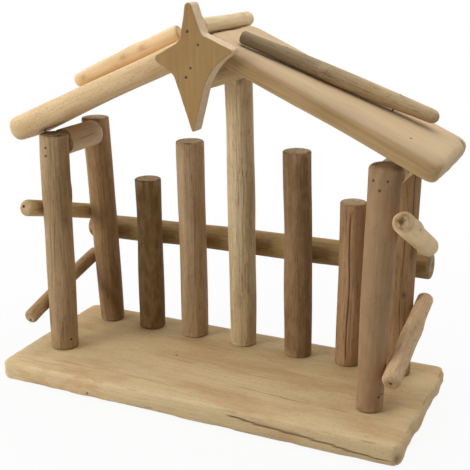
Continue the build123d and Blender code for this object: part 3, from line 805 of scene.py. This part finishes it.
leftBrace = {
    "name": "leftBrace", "node": "left_brace", "seed": 73, "rounding": (2.6, 2.2), "rim": (0.2, 0.3),
    "knots": [(0.2, 150, 0.4, 3.0), (0.5, 40, 0.0, 12), (0.72, 90, 0.0, 10)], "knotStain": 0.4,
    "pith": ((-0.3, 0.1), (0, 0)), "pithDeep": (1.4, 0.3), "pithWide": 0.9,
    "look": lookOf(brownLook, 14, **shades(184, 153, 110, 0.36),
                   cutDark=paint(160, 132, 90), cutLight=paint(196, 170, 126)),
}
makeStick(leftBrace)

rightBrace = {
    "name": "rightBrace", "node": "right_brace", "seed": 79, "rounding": (3.6, 2.6), "rim": (0.1, 0.2),
    "knots": [(0.60, 65, 1.2, 7.0), (0.5, -30, 0.4, 5.0)], "knotStain": 0.12,
    "pith": ((0.1, 0.1), (0, 0)), "pithDeep": (1.4, 0.3), "pithWide": 1.0,
    "look": lookOf(brownLook, 15, **shades(220, 186, 146, 0.2),
                   cutDark=paint(150, 120, 80), cutLight=paint(190, 160, 118)),
}
makeStick(rightBrace)

leftTopPlate = {
    # the rear part is darkened as painted shade, and the dark front rim is partly painted shadow beside the
    # post
    "name": "leftTopPlate", "node": "left_top_plate", "seed": 83, "rough": 0.6, "dusk": 0.14,
    "splits": [(0.1, 0.9, 78, 0.3, 0.5)], "splitStain": 0.7, "rounding": (0.9, 0.9), "rim": (1.4, 0.6),
    "look": lookOf(paleLook, 16, **shades(228, 202, 168, 0.2)),
}
makeStick(leftTopPlate)

rightTopPlate = {
    "name": "rightTopPlate", "node": "right_top_plate", "seed": 89, "rough": 0.6,
    "rounding": (0.9, 0.9), "rim": (0.6, 0.6),
    "look": lookOf(paleLook, 17, **shades(231, 194, 128, 0.2)),
}
makeStick(rightTopPlate)

ridgeBeam = {
    "name": "ridgeBeam", "node": "ridge_beam", "seed": 97, "rough": 0.8, "rounding": (1.2, 1.6),
    "look": lookOf(brownLook, 18, **shades(219, 193, 139)),
}
makeStick(ridgeBeam)

leftBatten = {
    "name": "leftBatten", "node": "left_batten", "slot": "pale_wood", "seed": 101, "waver": 0.35,
    "knots": [(0.58, -98, 0.9, 6.0), (0.5, -8, 0.4, 3.4), (0.68, -14, 0.4, 3.8), (0.1, 0, 0.2, 3)],
    "knotStain": 0.45, "splits": [(0.5, 0.98, 10, 0.3, 0.2)], "splitStain": 0.15,
    "rounding": (2.6, 1.6), "rim": (0.1, 0.9),
    "look": lookOf(paleLook, 19, **shades(240, 206, 158, 0.16), stain=paint(150, 100, 56)),
}
makeStick(leftBatten)

rightBatten = {
    "name": "rightBatten", "node": "right_batten", "slot": "pale_wood", "seed": 103, "waver": 0.4,
    "knots": [(0.58, 14, 1.7, 2.6)], "knotStain": 0.05, "dusk": 0.5,
    "rounding": (4.4, 2.4), "rim": (0.1, 0.9),
    "look": lookOf(brownLook, 20, **shades(206, 181, 140, 0.22)),
}
makeStick(rightBatten)

ridgeStick = {
    "name": "ridgeStick", "node": "ridge_stick", "slot": "pale_wood", "seed": 107, "rough": 0.9,
    "knots": [(0.8, 40, 0.5, 2.6)], "knotStain": 0.35, "rounding": (2.2, 2.0), "rim": (0.2, 0.2),
    "look": lookOf(paleLook, 21, **shades(240, 216, 172, 0.16)),
}
makeStick(ridgeStick)


# Boards: the skin of a lattice, cast from inside on to the CAD node

boardMesh = {
    "gap": 0.12 * mm, "edgeSteps": (0.04, 0.12, 0.24, 0.4, 0.6, 0.85),
    "spotSteps": (0.2, 0.5, 0.75, 0.9, 1.15, 1.5), "sight": 60 * mm, "bore": 1.5 * mm, "fillRounds": 12,
}


def boardLines(low, high, step, edge, spots=(), reach=pit["radius"]):
    # close lines by both edges too
    marks = around((low, high), boardMesh["edgeSteps"], edge) + around(spots, boardMesh["spotSteps"], reach)
    return meshLines(low, high, step, boardMesh["gap"], marks)


def latticeSkin(xs, ys, zs):
    shape = (len(xs), len(ys), len(zs))
    outer = np.zeros(shape, bool)
    outer[[0, -1]] = outer[:, [0, -1]] = outer[:, :, [0, -1]] = True
    number = np.full(shape, -1)
    number[outer] = np.arange(outer.sum())
    i, j, k = np.nonzero(outer)
    points = np.c_[np.array(xs)[i], np.array(ys)[j], np.array(zs)[k]]
    kept = (number[:, :, -1], number[:, 0, :], number[-1])
    turned = (number[:, :, 0], number[:, -1, :], number[0])
    quads = [gridQuads(sheet) for sheet in kept] + [gridQuads(sheet)[:, ::-1] for sheet in turned]
    return points, np.concatenate(quads).tolist()


def nearBrads(points):
    found = np.zeros(len(points), bool)
    for head, outward in bradHeads:
        found |= fromLine(points, head, outward)[1] < boardMesh["bore"]
    return found


def fillGaps(reach, faces):
    # what is missing takes the mean of what lies round it
    links = [[] for _ in reach]
    for face in faces:
        for v, w in zip(face, face[1:] + face[:1]):
            links[v].append(w)
    for _ in range(boardMesh["fillRounds"]):
        filled = {}
        for v in np.nonzero(np.isnan(reach))[0]:
            around = [reach[w] for w in links[v] if not np.isnan(reach[w])]
            if around:
                filled[v] = sum(around) / len(around)
        for v, value in filled.items():
            reach[v] = value


def castBoard(node, origin, turned, lines, core, soft):
    # core: how far the inner core stays from each face
    # soft: how far the corners give way to a full round
    local, faces = latticeSkin(*lines)
    low = np.array([line[0] for line in lines]) + core
    high = np.array([line[-1] for line in lines]) - core
    inner = np.clip(local, low, np.maximum(high, low))
    heading = local - inner
    heading /= np.linalg.norm(heading, axis=1)[:, None]
    starts, headings = origin + inner @ turned, heading @ turned
    reach = np.full(len(local), np.nan)
    for v, (start, way) in enumerate(zip(starts, headings)):
        distance = woodTrees[node].ray_cast(Vector(start), Vector(way), boardMesh["sight"])[3]
        reach[v] = np.nan if distance is None else distance
    # bores are skipped, and filled from what lies round them
    reach[nearBrads(origin + local @ turned) | nearBrads(starts + headings * reach[:, None])] = np.nan
    fillGaps(reach, faces)
    fullRound = 1 / np.sqrt(((heading / core) ** 2).sum(1))
    reach = np.where(fullRound < reach, reach + (fullRound - reach) * soft, reach)
    return inner + heading * reach[:, None], faces


def pointNormals(points, faces):
    quads = np.array(faces)
    cross = np.cross(points[quads[:, 2]] - points[quads[:, 0]], points[quads[:, 3]] - points[quads[:, 1]])
    normals = np.zeros_like(points)
    for n in range(4):
        np.add.at(normals, quads[:, n], cross)
    return normals / np.maximum(np.linalg.norm(normals, axis=1), tiny)[:, None]


def boardPits(points, normals):
    # sunk brads that open on this board
    lift = np.zeros(len(points))
    stain = np.zeros(len(points))
    for head, outward in bradHeads:
        rise, far = fromLine(points, head, outward)
        near = (rise > -pit["below"]) & (rise < pit["above"]) & (normals @ outward > pit["facing"])
        lift -= np.where(near, pitShape(far), 0) * np.clip(rise + pit["extra"], 0, pit["deepest"])
        stain = np.maximum(stain, np.where(near, pit["boardStain"] * pitStain(far, pit["boardCore"]), 0))
    return lift, stain


# both planks: mesh along, across and through the plank, in mm
plainPlank = {
    "slot": "pale_wood", "steps": (1.5, 1.2, 1.3), "edges": (7, 9, 4), "core": (9, 8), "coreHalf": 0.01,
    "endCut": 0.5, "covered": (40, 44), "middleRelief": 0.08, "deepest": -0.6, "highest": 0.22,
    "bedFacing": -0.7, "topFacing": -0.3, "markRound": 0.6, "markStainSize": 0.7,
    "endRun": (0.7, 0.9), "sunRun": (0.2, 0.75), "edgeWear": 0.5, "edgeMost": 0.3,
}


def makePlank(given):
    spec = {**plainPlank, **given}
    seed = spec["seed"]
    points, centres, _, areas = nodeTriangles(spec["node"])
    middle, along = middleAndWay(centres, areas, (1, 0, 1))
    along *= -np.sign(along[2])
    depth = np.array((0, 1.0, 0))
    rise = np.cross(along, depth)
    if rise[2] < 0:
        depth, rise = -depth, -rise
    turned = np.array((along, depth, rise))
    spread = (points - middle) @ turned.T
    low, high = spread.min(0), spread.max(0)
    spots = [(head - middle) @ turned.T for head, tip in brads["roof_brads"] if (head - tip) @ rise > 0]
    spots = [spot for spot in spots if np.all(spot > low) and np.all(spot < high)]
    marked = [[spot[0] for spot in spots], [spot[1] for spot in spots], []]
    lines = [boardLines(low[n], high[n], spec["steps"][n] * mm, spec["edges"][n] * mm, marked[n])
             for n in range(3)]
    core = np.array((*spec["core"], (high[2] - low[2]) / 2 / mm - spec["coreHalf"])) * mm
    local, faces = castBoard(spec["node"], middle, turned, lines, core, spec["soft"])
    facing = pointNormals(local, faces)
    if np.linalg.det(turned) < 0:
        faces = [face[::-1] for face in faces]
    share = np.clip((local[:, 0] - low[0]) / (high[0] - low[0]), 0, 1)
    below = np.clip(local[:, 2] / low[2], 0, 1)
    local[:, 2] += spec["arch"] * mm * below * np.sin(math.pi * share) ** 1.5
    world = middle + local @ turned
    worldFacing = facing @ turned

    grain = np.c_[local[:, 1], local[:, 2] + spec["pithDrop"] * mm, local[:, 0]]
    lift = relief(grain, seed, [
        (14, 40, 14, 0.5, spec["waver"]), (200, 520, 26, 0.03, spec["ridges"]),
        (60, 160, 18, 0.2, spec["middleRelief"])])
    lift = np.clip(lift, spec["deepest"] * mm, spec["highest"] * mm)
    # the bed stays clear of the posts
    lift = np.where(facing[:, 2] < spec["bedFacing"], np.minimum(lift, 0), lift)
    stain = np.zeros(len(local))
    onTop = facing[:, 2] > spec["topFacing"]
    for alongShare, acrossShare, size, deep, dark in spec["marks"]:
        spot = low + (high - low) * (alongShare, acrossShare, 0)
        far = np.hypot((local[:, 0] - spot[0]) * spec["markRound"], local[:, 1] - spot[1]) / mm
        lift -= np.where(onTop, deep * mm * bell(far, size), 0)
        stain = np.maximum(stain, np.where(onTop, dark * bell(far, size * spec["markStainSize"]), 0))
    pits, pitted = boardPits(world, worldFacing)
    # the brads at the head lie under the ridge stick
    bare = ease(*(np.array(spec["covered"]) * mm), local[:, 0] - low[0])
    world = world + worldFacing * (lift + pits * bare)[:, None]
    edge = 1 - np.abs(facing).max(1)
    # painted light: faces turned upward take the pale worn colour, so the top reads lighter than the front
    sunned = spec["sunned"] * ease(*spec["sunRun"], facing[:, 2])
    addPiece(spec, world, faces, {
        "grain": grain, "stain": np.maximum(stain, pitted * bare),
        "cut": ease(*spec["endRun"], np.abs(facing[:, 0])) * spec["endCut"],
        "wear": np.maximum(np.clip(edge * spec["edgeWear"], 0, spec["edgeMost"]), sunned)})


leftRoofPlank = {
    "name": "leftRoofPlank", "node": "left_roof_plank", "seed": 113, "pithDrop": 26, "arch": 1.8,
    "soft": 0.15, "waver": 0.22, "ridges": 0.05, "sunned": 0.1,
    # share along, share across, size, depth, darkness
    "marks": [(0.72, 0.12, 2.2, 0.35, 0.35), (0.55, 0.2, 1.5, 0.2, 0.2), (0.86, 0.3, 1.6, 0.2, 0.2)],
    "look": lookOf(paleLook, 22, **shades(220, 189, 143, 0.13), wornFrom=0.0, fleckFrom=0.73,
                   crackFrom=0.64, speckle=0.44),
}
makePlank(leftRoofPlank)

rightRoofPlank = {
    "name": "rightRoofPlank", "node": "right_roof_plank", "seed": 127, "pithDrop": 30, "arch": 0.4,
    "soft": 0.5, "waver": 0.2, "ridges": 0.03, "sunned": 0.5,
    "marks": [(0.98, 0.845, 2.6, 0.25, 0.9), (0.6, 0.15, 2.0, 0.15, 0.15)],
    # the darker colour shows on the front and the pale worn colour on the top: painted shade and painted
    # light
    "look": lookOf(paleLook, 24, **shades(181, 149, 103, 0.26), worn=paint(230, 205, 170), wornFrom=0.0,
                   cutDark=paint(206, 180, 146), cutLight=paint(226, 204, 174),
                   fleckFrom=0.74, crackFrom=0.66, bump=0.2),
}
makePlank(rightRoofPlank)


# Base board: its own marks are in mm from the origin

baseBoard = {
    "name": "baseBoard", "node": "base_board", "slot": "base_wood", "seed": 131,
    "steps": (1.5, 1.5, 1.0), "edges": (6.5, 6.5, 3), "core": (8, 8, 6), "soft": 0.5,
    "pithDrop": 38, "waver": 0.16, "ridges": 0.05, "chips": 1.0,
    # height at its left end, fall, from x, to x, width, depth
    "frontGroove": (12.6, 8.0, 30, 151, 0.6, 0.5),
    # y, from x, to x, width, depth
    "topGrooves": [(-52, -140, -40, 0.3, 0.25), (-46, -128, 10, 0.3, 0.2), (-57, -150, -80, 0.35, 0.3),
                   (-30, -20, 120, 0.25, 0.18), (-8, -60, 60, 0.25, 0.15)],
    "frontDot": (-75.8, -62.5, 4.0), "topDot": (-35.6, -1.7, 16.0), "dotSize": 1.0,
    # x, y, z, size, depth, darkness
    "nicks": [(-25, -62.5, 2.5, 3.0, 1.4, 0.15), (152, 20, 12, 8, 0.8, 0.1),
              (152, -30, 9, 6, 0.8, 0.1), (151, -61, 6, 4, 0.4, 0.5)],
    "look": lookOf(paleLook, 25, **shades(220, 195, 148, 0.14), cast=paint(240, 227, 219),
                   worn=paint(236, 214, 176), stain=paint(88, 48, 18), cutDark=paint(176, 146, 104),
                   cutLight=paint(206, 180, 140), fleckFrom=0.72, crackFrom=0.61, crackDepth=0.35,
                   speckle=0.24, wander=0.004),
}


baseForms = {
    "chipFrom": 0.3, "chipMost": 2, "chipRun": (0.02, 0.25), "deepest": -2.4 * mm, "highest": 0.12 * mm,
    "gnawed": 0.4, "gnawedSwing": 0.6, "gnawedMost": 1.6, "edgeRun": (0.05, 0.3), "edgeGnaw": 0.3,
    "lowerRun": (0.06, 0.3), "downRun": (0.0, -0.15), "lowerGnaw": 0.8,
    "rightRun": (0.3, 0.9), "rightGnaw": 0.6, "leftRun": (0.4, 0.9), "leftGnaw": 0.3,
    "frontFade": (12 * mm, 10 * mm), "frontWiden": 1.6, "frontStain": 0.95, "frontStainRun": (0.02, 0.7),
    "topSway": 1.2, "topSwayTurns": 38, "topFade": (20 * mm, 20 * mm), "topWiden": 2.2,
    "topStain": 0.42, "topStainRun": (0.1, 0.9), "dotStain": 0.9, "flatRun": (-0.995, -0.97),
    # the front darkens to the right as painted shade, and grows paler to the left, partly wear and partly
    # painted light
    "frontRun": (-0.3, -0.7), "darkRun": (-70 * mm, 0.0), "dark": 0.12,
    "paleRun": (-20 * mm, -90 * mm), "pale": 0.22, "endRun": (0.75, 0.95), "endCut": 0.5,
    "wear": 0.1, "edgeWear": 0.9, "wearMost": 0.8,
}


def baseSkin(spec):
    low, high = (np.array(c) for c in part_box(spec["node"]))
    middle, half = (low + high) / 2, (high - low) / 2
    frontDot, topDot = spec["frontDot"], spec["topDot"]
    marked = [
        ([frontDot[0] * mm, topDot[0] * mm], pit["radius"]),
        ([topDot[1] * mm] + [groove[0] * mm for groove in spec["topGrooves"]], 0.4 * mm),
        ([frontDot[2] * mm - middle[2], spec["frontGroove"][0] * mm - middle[2]], 0.5 * mm)]
    lines = [boardLines(-half[n], half[n], spec["steps"][n] * mm, spec["edges"][n] * mm, *marked[n])
             for n in range(3)]
    core = np.array(spec["core"]) * mm
    local, faces = castBoard(spec["node"], middle, np.eye(3), lines, core, spec["soft"])
    return local, middle + local, faces


def baseWear(spec, grain, facing, edge):
    # chipped edges, and a right end and lower edge that are gnawed by wear
    seed, forms = spec["seed"], baseForms
    lift = relief(grain, seed, [(8, 30, 14, 0.4, spec["waver"]), (180, 480, 30, 0.02, spec["ridges"])])
    chip = np.clip(waves(grain, seed + 2, 30, 130, 22, 0.6) - forms["chipFrom"], 0, forms["chipMost"])
    lift -= chip * spec["chips"] * mm * ease(*forms["chipRun"], edge)
    gnawed = forms["gnawed"] + forms["gnawedSwing"] * waves(grain, seed + 3, 22, 75, 18)
    lower = ease(*forms["lowerRun"], np.hypot(facing[:, 0], facing[:, 1]))
    where = forms["edgeGnaw"] * ease(*forms["edgeRun"], edge)
    where += forms["lowerGnaw"] * lower * ease(*forms["downRun"], facing[:, 2])
    where += forms["rightGnaw"] * ease(*forms["rightRun"], facing[:, 0])
    where += forms["leftGnaw"] * ease(*forms["leftRun"], -facing[:, 0])
    lift -= np.clip(gnawed, 0, forms["gnawedMost"]) * mm * where
    return np.clip(lift, forms["deepest"], forms["highest"])


def baseMarks(spec, world, facing):
    lift = np.zeros(len(world))
    stain = np.zeros(len(world))
    x, y, z = world.T
    forms = baseForms

    height, fall, left, right, wide, deep = spec["frontGroove"]
    line = height + 0.3 * np.sin(x * 85) + 0.2 * np.sin(x * 310)
    line -= fall * np.clip((x / mm - left) / (right - left), 0, 1)
    run = between(left * mm, right * mm, *forms["frontFade"], x) * (facing[:, 1] < forms["frontRun"][0])
    dip = np.clip(1 - np.abs(z - line * mm) / (wide * forms["frontWiden"] * mm), 0, 1) * run
    lift -= dip * deep * mm
    stain = np.maximum(stain, forms["frontStain"] * ease(*forms["frontStainRun"], dip))

    for depth, left, right, wide, deep in spec["topGrooves"]:
        line = depth + forms["topSway"] * np.sin(x * forms["topSwayTurns"] + depth)
        run = between(left * mm, right * mm, *forms["topFade"], x) * (facing[:, 2] > 0.5)
        dip = np.clip(1 - np.abs(y - line * mm) / (wide * forms["topWiden"] * mm), 0, 1) * run
        lift -= dip * deep * mm
        stain = np.maximum(stain, forms["topStain"] * ease(*forms["topStainRun"], dip))
    for *spot, size, deep, dark in spec["nicks"]:
        dip = bell(np.linalg.norm(world - np.array(spot) * mm, axis=1), size * mm)
        lift -= deep * mm * dip
        stain = np.maximum(stain, dark * dip)
    for spot in (spec["frontDot"], spec["topDot"]):
        far = np.linalg.norm(world - np.array(spot) * mm, axis=1) / (spec["dotSize"] * mm)
        dip = 1 - ease(0.5, 1.0, far)
        lift -= dip * spec["dotSize"] * mm
        stain = np.maximum(stain, forms["dotStain"] * dip)
    return lift, stain


def makeBase(spec):
    forms = baseForms
    local, world, faces = baseSkin(spec)
    facing = pointNormals(local, faces)
    edge = 1 - np.abs(facing).max(1)
    grain = np.c_[local[:, 1], local[:, 2] + spec["pithDrop"] * mm, local[:, 0]]
    marks, stain = baseMarks(spec, world, facing)
    lift = baseWear(spec, grain, facing, edge) + marks
    # nothing grows below the underside, which stays flat
    lift = np.where(facing[:, 2] < 0, np.minimum(lift, 0), lift) * ease(*forms["flatRun"], facing[:, 2])
    world = world + facing * lift[:, None]
    # painted shade darkens the front towards the right; its paler left end is partly wear and partly painted
    # light
    front = ease(*forms["frontRun"], facing[:, 1])  # darker to the right, paler to the left
    stain = np.maximum(stain, forms["dark"] * ease(*forms["darkRun"], world[:, 0]) * front)
    pale = forms["pale"] * ease(*forms["paleRun"], world[:, 0]) * front
    addPiece(spec, world, faces, {
        "grain": grain, "stain": stain,
        "cut": ease(*forms["endRun"], np.abs(facing[:, 0])) * forms["endCut"],
        "wear": np.clip(forms["wear"] + edge * forms["edgeWear"] + pale, 0, forms["wearMost"])})


makeBase(baseBoard)


# Star: the sawn board, worn round

sawnStar = {
    "name": "sawnStar", "node": "star", "slot": "star_wood", "seed": 137,
    "voxel": 0.42, "smoothing": 0.5, "rounds": 3, "waver": 0.10, "ridges": 0.035, "pithAway": (20, 30, 0),
    # the pale cut colours go on the star's sides: sawn edges, with painted light making them paler than the
    # front
    "look": lookOf(paleLook, 26, **shades(167, 132, 81, 0.07), cast=paint(250, 247, 243),
                   stain=paint(104, 72, 44), worn=paint(206, 178, 138), cutDark=paint(214, 186, 150),
                   cutLight=paint(234, 212, 180), fleckFrom=0.76, crackFrom=0.8, speckle=0.06, bump=0.2),
}


def evenStar(spec):
    # even small faces over the CAD node's shape, with its sharp edges worn off
    shell = weldedShell(spec["node"])
    mesh = bpy.data.meshes.new("starRough")
    shell.to_mesh(mesh)
    shell.free()
    rough = putInScene("starRough", mesh)
    remesh = rough.modifiers.new("even", "REMESH")
    remesh.mode = "VOXEL"
    remesh.voxel_size = spec["voxel"] * mm
    smooth = rough.modifiers.new("soft", "SMOOTH")
    smooth.factor = spec["smoothing"]
    smooth.iterations = spec["rounds"]
    even = plainMesh(rough)
    bpy.data.objects.remove(rough)
    points, normals = np.empty((2, len(even.vertices) * 3))
    even.vertices.foreach_get("co", points)
    even.vertices.foreach_get("normal", normals)
    faces = [tuple(p.vertices) for p in even.polygons]
    bpy.data.meshes.remove(even)
    return points.reshape(-1, 3), normals.reshape(-1, 3), faces


def makeStar(spec):
    seed = spec["seed"]
    points, normals, faces = evenStar(spec)
    low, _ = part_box(spec["node"])
    grain = points - (low[0], low[1], 0) + np.array(spec["pithAway"]) * mm
    lift = relief(grain, seed, [(30, 110, 16, 1, spec["waver"]), (260, 620, 22, 0.05, spec["ridges"])])
    lift = np.clip(lift, -0.3 * mm, 0.12 * mm)
    stain = np.zeros(len(points))
    for head, tip in brads["star_brads"]:
        rise, far = fromLine(points, head, unit(head - tip))
        stain = np.maximum(stain, np.where(rise > -1 * mm, 0.8 * (1 - ease(0.35 * mm, 1.2 * mm, far)), 0))
    # the sides take the pale cut and worn colours, partly sawn edges and partly painted light
    side = 1 - np.abs(normals[:, 1])
    addPiece(spec, points + normals * lift[:, None], faces, {
        "grain": grain, "stain": stain, "cut": ease(0.12, 0.6, side), "wear": 0.3 * ease(0.03, 0.3, side)})


makeStar(sawnStar)


# Brads: Geometry Nodes set one wire brad at each measured point

bradSizes = {
    "Shank Radius": 0.66 * mm, "Head Radius": 0.72 * mm, "Head Height": 0.35 * mm,
    "Crown Share": 0.7, "Head Drop": -0.6, "Sides": 14, "Seed": 5,
}


def steelFinish(name):
    material, make = newFinish(name)
    place = make("ShaderNodeTexCoord").outputs["Object"]
    rust = make("ShaderNodeTexNoise", {"Vector": place, "Scale": 900.0, "Detail": 3.0}).outputs["Fac"]
    ramp = make("ShaderNodeValToRGB", {"Fac": rust})
    stops = ramp.color_ramp.elements
    stops[0].position, stops[0].color = 0.38, paint(78, 54, 36)
    stops[1].position, stops[1].color = 0.62, paint(132, 106, 80)
    rough = make("ShaderNodeMapRange", {"Value": rust, "To Min": 0.5, "To Max": 0.8}).outputs[0]
    bump = make("ShaderNodeBump", {"Height": rust, "Strength": 0.2, "Distance": 0.1 * mm}).outputs[0]
    shader = make("ShaderNodeBsdfPrincipled", {
        "Base Color": ramp.outputs[0], "Roughness": rough, "Normal": bump, "Metallic": 0.4})
    make("ShaderNodeOutputMaterial", {"Surface": shader.outputs[0]})
    return material


def bradTree(material):
    tree = bpy.data.node_groups.new("bradRow", "GeometryNodeTree")
    face = tree.interface
    face.new_socket("Geometry", in_out="INPUT", socket_type="NodeSocketGeometry")
    sockets = {}
    for key, value in bradSizes.items():
        kind = "NodeSocketInt" if isinstance(value, int) else "NodeSocketFloat"
        sockets[key] = face.new_socket(key, in_out="INPUT", socket_type=kind).identifier
    face.new_socket("Geometry", in_out="OUTPUT", socket_type="NodeSocketGeometry")
    make = nodeMaker(tree)
    given = make("NodeGroupInput").outputs

    def made(kind, inputs, output=0, **settings):
        return make(kind, inputs, **settings).outputs[output]

    def times(first, second):
        return made("ShaderNodeMath", {0: first, 1: second}, operation="MULTIPLY")

    def upright(height):
        return made("ShaderNodeCombineXYZ", {"Z": height})

    # each point holds the way and the length of its brad
    drive = made("GeometryNodeInputNamedAttribute", {"Name": "drive"}, data_type="FLOAT_VECTOR")
    reach = made("GeometryNodeInputNamedAttribute", {"Name": "reach"}, data_type="FLOAT")
    turned = made("FunctionNodeAlignRotationToVector", {"Vector": drive}, axis="Z")
    spin = made("FunctionNodeRandomValue", {2: 0.0, 3: fullTurn, "Seed": given["Seed"]},
                output=1, data_type="FLOAT")
    spun = made("FunctionNodeRotateRotation", {"Rotation": turned, "Rotate By": upright(spin)},
                rotation_space="LOCAL")

    shank = made("GeometryNodeMeshCylinder", {
        "Vertices": given["Sides"], "Radius": given["Shank Radius"], "Depth": 1.0})
    sunk = made("GeometryNodeTransform", {"Geometry": shank, "Translation": (0, 0, 0.5)})
    crown = times(given["Head Radius"], given["Crown Share"])
    head = made("GeometryNodeMeshCone", {
        "Vertices": given["Sides"], "Radius Top": given["Head Radius"], "Radius Bottom": crown,
        "Depth": given["Head Height"]})
    drop = upright(times(given["Head Height"], given["Head Drop"]))
    headSet = made("GeometryNodeTransform", {"Geometry": head, "Translation": drop})

    stretch = made("ShaderNodeCombineXYZ", {"X": 1.0, "Y": 1.0, "Z": reach})
    shanks = made("GeometryNodeInstanceOnPoints", {
        "Points": given["Geometry"], "Instance": sunk, "Rotation": spun, "Scale": stretch})
    heads = made("GeometryNodeInstanceOnPoints", {
        "Points": given["Geometry"], "Instance": headSet, "Rotation": spun})
    joined = make("GeometryNodeJoinGeometry")
    for part in (shanks, heads):
        tree.links.new(part, joined.inputs[0])
    real = made("GeometryNodeRealizeInstances", {"Geometry": joined.outputs[0]})
    finished = made("GeometryNodeSetMaterial", {"Geometry": real, "Material": material})
    make("NodeGroupOutput", {0: finished})
    return tree, sockets


def makeBrads():
    tree, sockets = bradTree(steelFinish("bradSteel"))
    for node, group in brads.items():
        words = node.split("_")
        name = words[0] + "".join(word.title() for word in words[1:])
        mesh = bpy.data.meshes.new(name + "Points")
        mesh.from_pydata([tuple(head) for head, tip in group], [], [])
        drive = np.array([tip - head for head, tip in group])
        giveValues(mesh, "drive", drive)
        giveValues(mesh, "reach", np.linalg.norm(drive, axis=1))
        row = putInScene(name, mesh)
        setter = row.modifiers.new("bradRow", "NODES")
        setter.node_group = tree
        for key, value in bradSizes.items():
            setter[sockets[key]] = value
        plain = plainMesh(row)
        row.modifiers.remove(setter)
        row.data = plain
        plain.name = name
        keepPiece(row, node, "nail_steel")
        print(name, "faces", len(plain.polygons))


makeBrads()


# Light, floor and backdrop: a pale tent with lamps above and round it

studio = {
    "sky": (1, 0.99, 0.975, 1), "skyStrength": 0.07, "white": (1, 1, 1, 1),
    "floorHalf": 3.0, "floorDrop": 0.2 * mm, "floorColour": (0.8, 0.8, 0.79, 1),
    "floorWhite": 0.92, "floorFade": (0.16, 0.50),  # whiter away from the object
    # name, place, target, size, power
    "lamps": [
        ("topLamp", (0.0, 0.12, 1.1), (0, 0, 0.1), 1.1, 9.0),
        ("keyLamp", (-0.72, -0.82, 0.46), (0, 0, 0.12), 0.45, 6.3),
        ("leftLamp", (-1.05, 0.0, 0.4), (0, 0, 0.12), 0.7, 3.0),
        ("rightLamp", (1.05, 0.05, 0.8), (0, 0, 0.12), 0.8, 3.2),
        ("backLamp", (0.1, 1.25, 0.6), (0, 0, 0.12), 0.8, 1.0),
    ],
}


def addLamp(name, place, target, size, power):
    lamp = bpy.data.lights.new(name, "AREA")
    lamp.shape = "SQUARE"
    lamp.size = size
    lamp.energy = power
    holder = putInScene(name, lamp)
    holder.location = place
    holder.rotation_euler = (Vector(target) - Vector(place)).to_track_quat("-Z", "Y").to_euler()


def seenDirectly(make):
    # 1 for what the camera sees, also by way of a mirror or a glass
    rays = make("ShaderNodeLightPath").outputs
    seen = rays["Is Camera Ray"]
    for kind in ("Is Glossy Ray", "Is Transmission Ray"):
        seen = make("ShaderNodeMath", {0: seen, 1: rays[kind]}, operation="MAXIMUM").outputs[0]
    return seen


def addSky(spec):
    world = bpy.data.worlds.new("paleTent")
    world.use_nodes = True
    world.node_tree.nodes.clear()
    make = nodeMaker(world.node_tree)
    soft = make("ShaderNodeBackground", {"Color": spec["sky"], "Strength": spec["skyStrength"]}).outputs[0]
    white = make("ShaderNodeBackground", {"Color": spec["white"], "Strength": 1.0}).outputs[0]
    mixed = make("ShaderNodeMixShader", {0: seenDirectly(make), 1: soft, 2: white}).outputs[0]
    make("ShaderNodeOutputWorld", {"Surface": mixed})
    bpy.context.scene.world = world


def addFloor(spec):
    half, level = spec["floorHalf"], -spec["floorDrop"]
    corners = [(x * half, y * half, level) for x, y in ((-1, -1), (1, -1), (1, 1), (-1, 1))]
    mesh = bpy.data.meshes.new("tentFloor")
    mesh.from_pydata(corners, [], [(0, 1, 2, 3)])
    finish, make = newFinish("paleFloor")
    matt = make("ShaderNodeBsdfDiffuse", {"Color": spec["floorColour"]}).outputs[0]
    glow = make("ShaderNodeEmission", {"Color": spec["white"], "Strength": 1.0}).outputs[0]
    place = make("ShaderNodeTexCoord").outputs["Object"]
    away = make("ShaderNodeVectorMath", {0: place}, operation="LENGTH").outputs["Value"]
    near, far = spec["floorFade"]
    white = make("ShaderNodeMapRange", {"Value": away, "From Min": near, "From Max": far,
                                        "To Min": spec["floorWhite"], "To Max": 1.0}).outputs[0]
    share = make("ShaderNodeMath", {0: seenDirectly(make), 1: white}, operation="MULTIPLY").outputs[0]
    mixed = make("ShaderNodeMixShader", {0: share, 1: matt, 2: glow}).outputs[0]
    make("ShaderNodeOutputMaterial", {"Surface": mixed})
    mesh.materials.append(finish)
    putInScene("tentFloor", mesh)


for lamp in studio["lamps"]:
    addLamp(*lamp)
addSky(studio)
addFloor(studio)
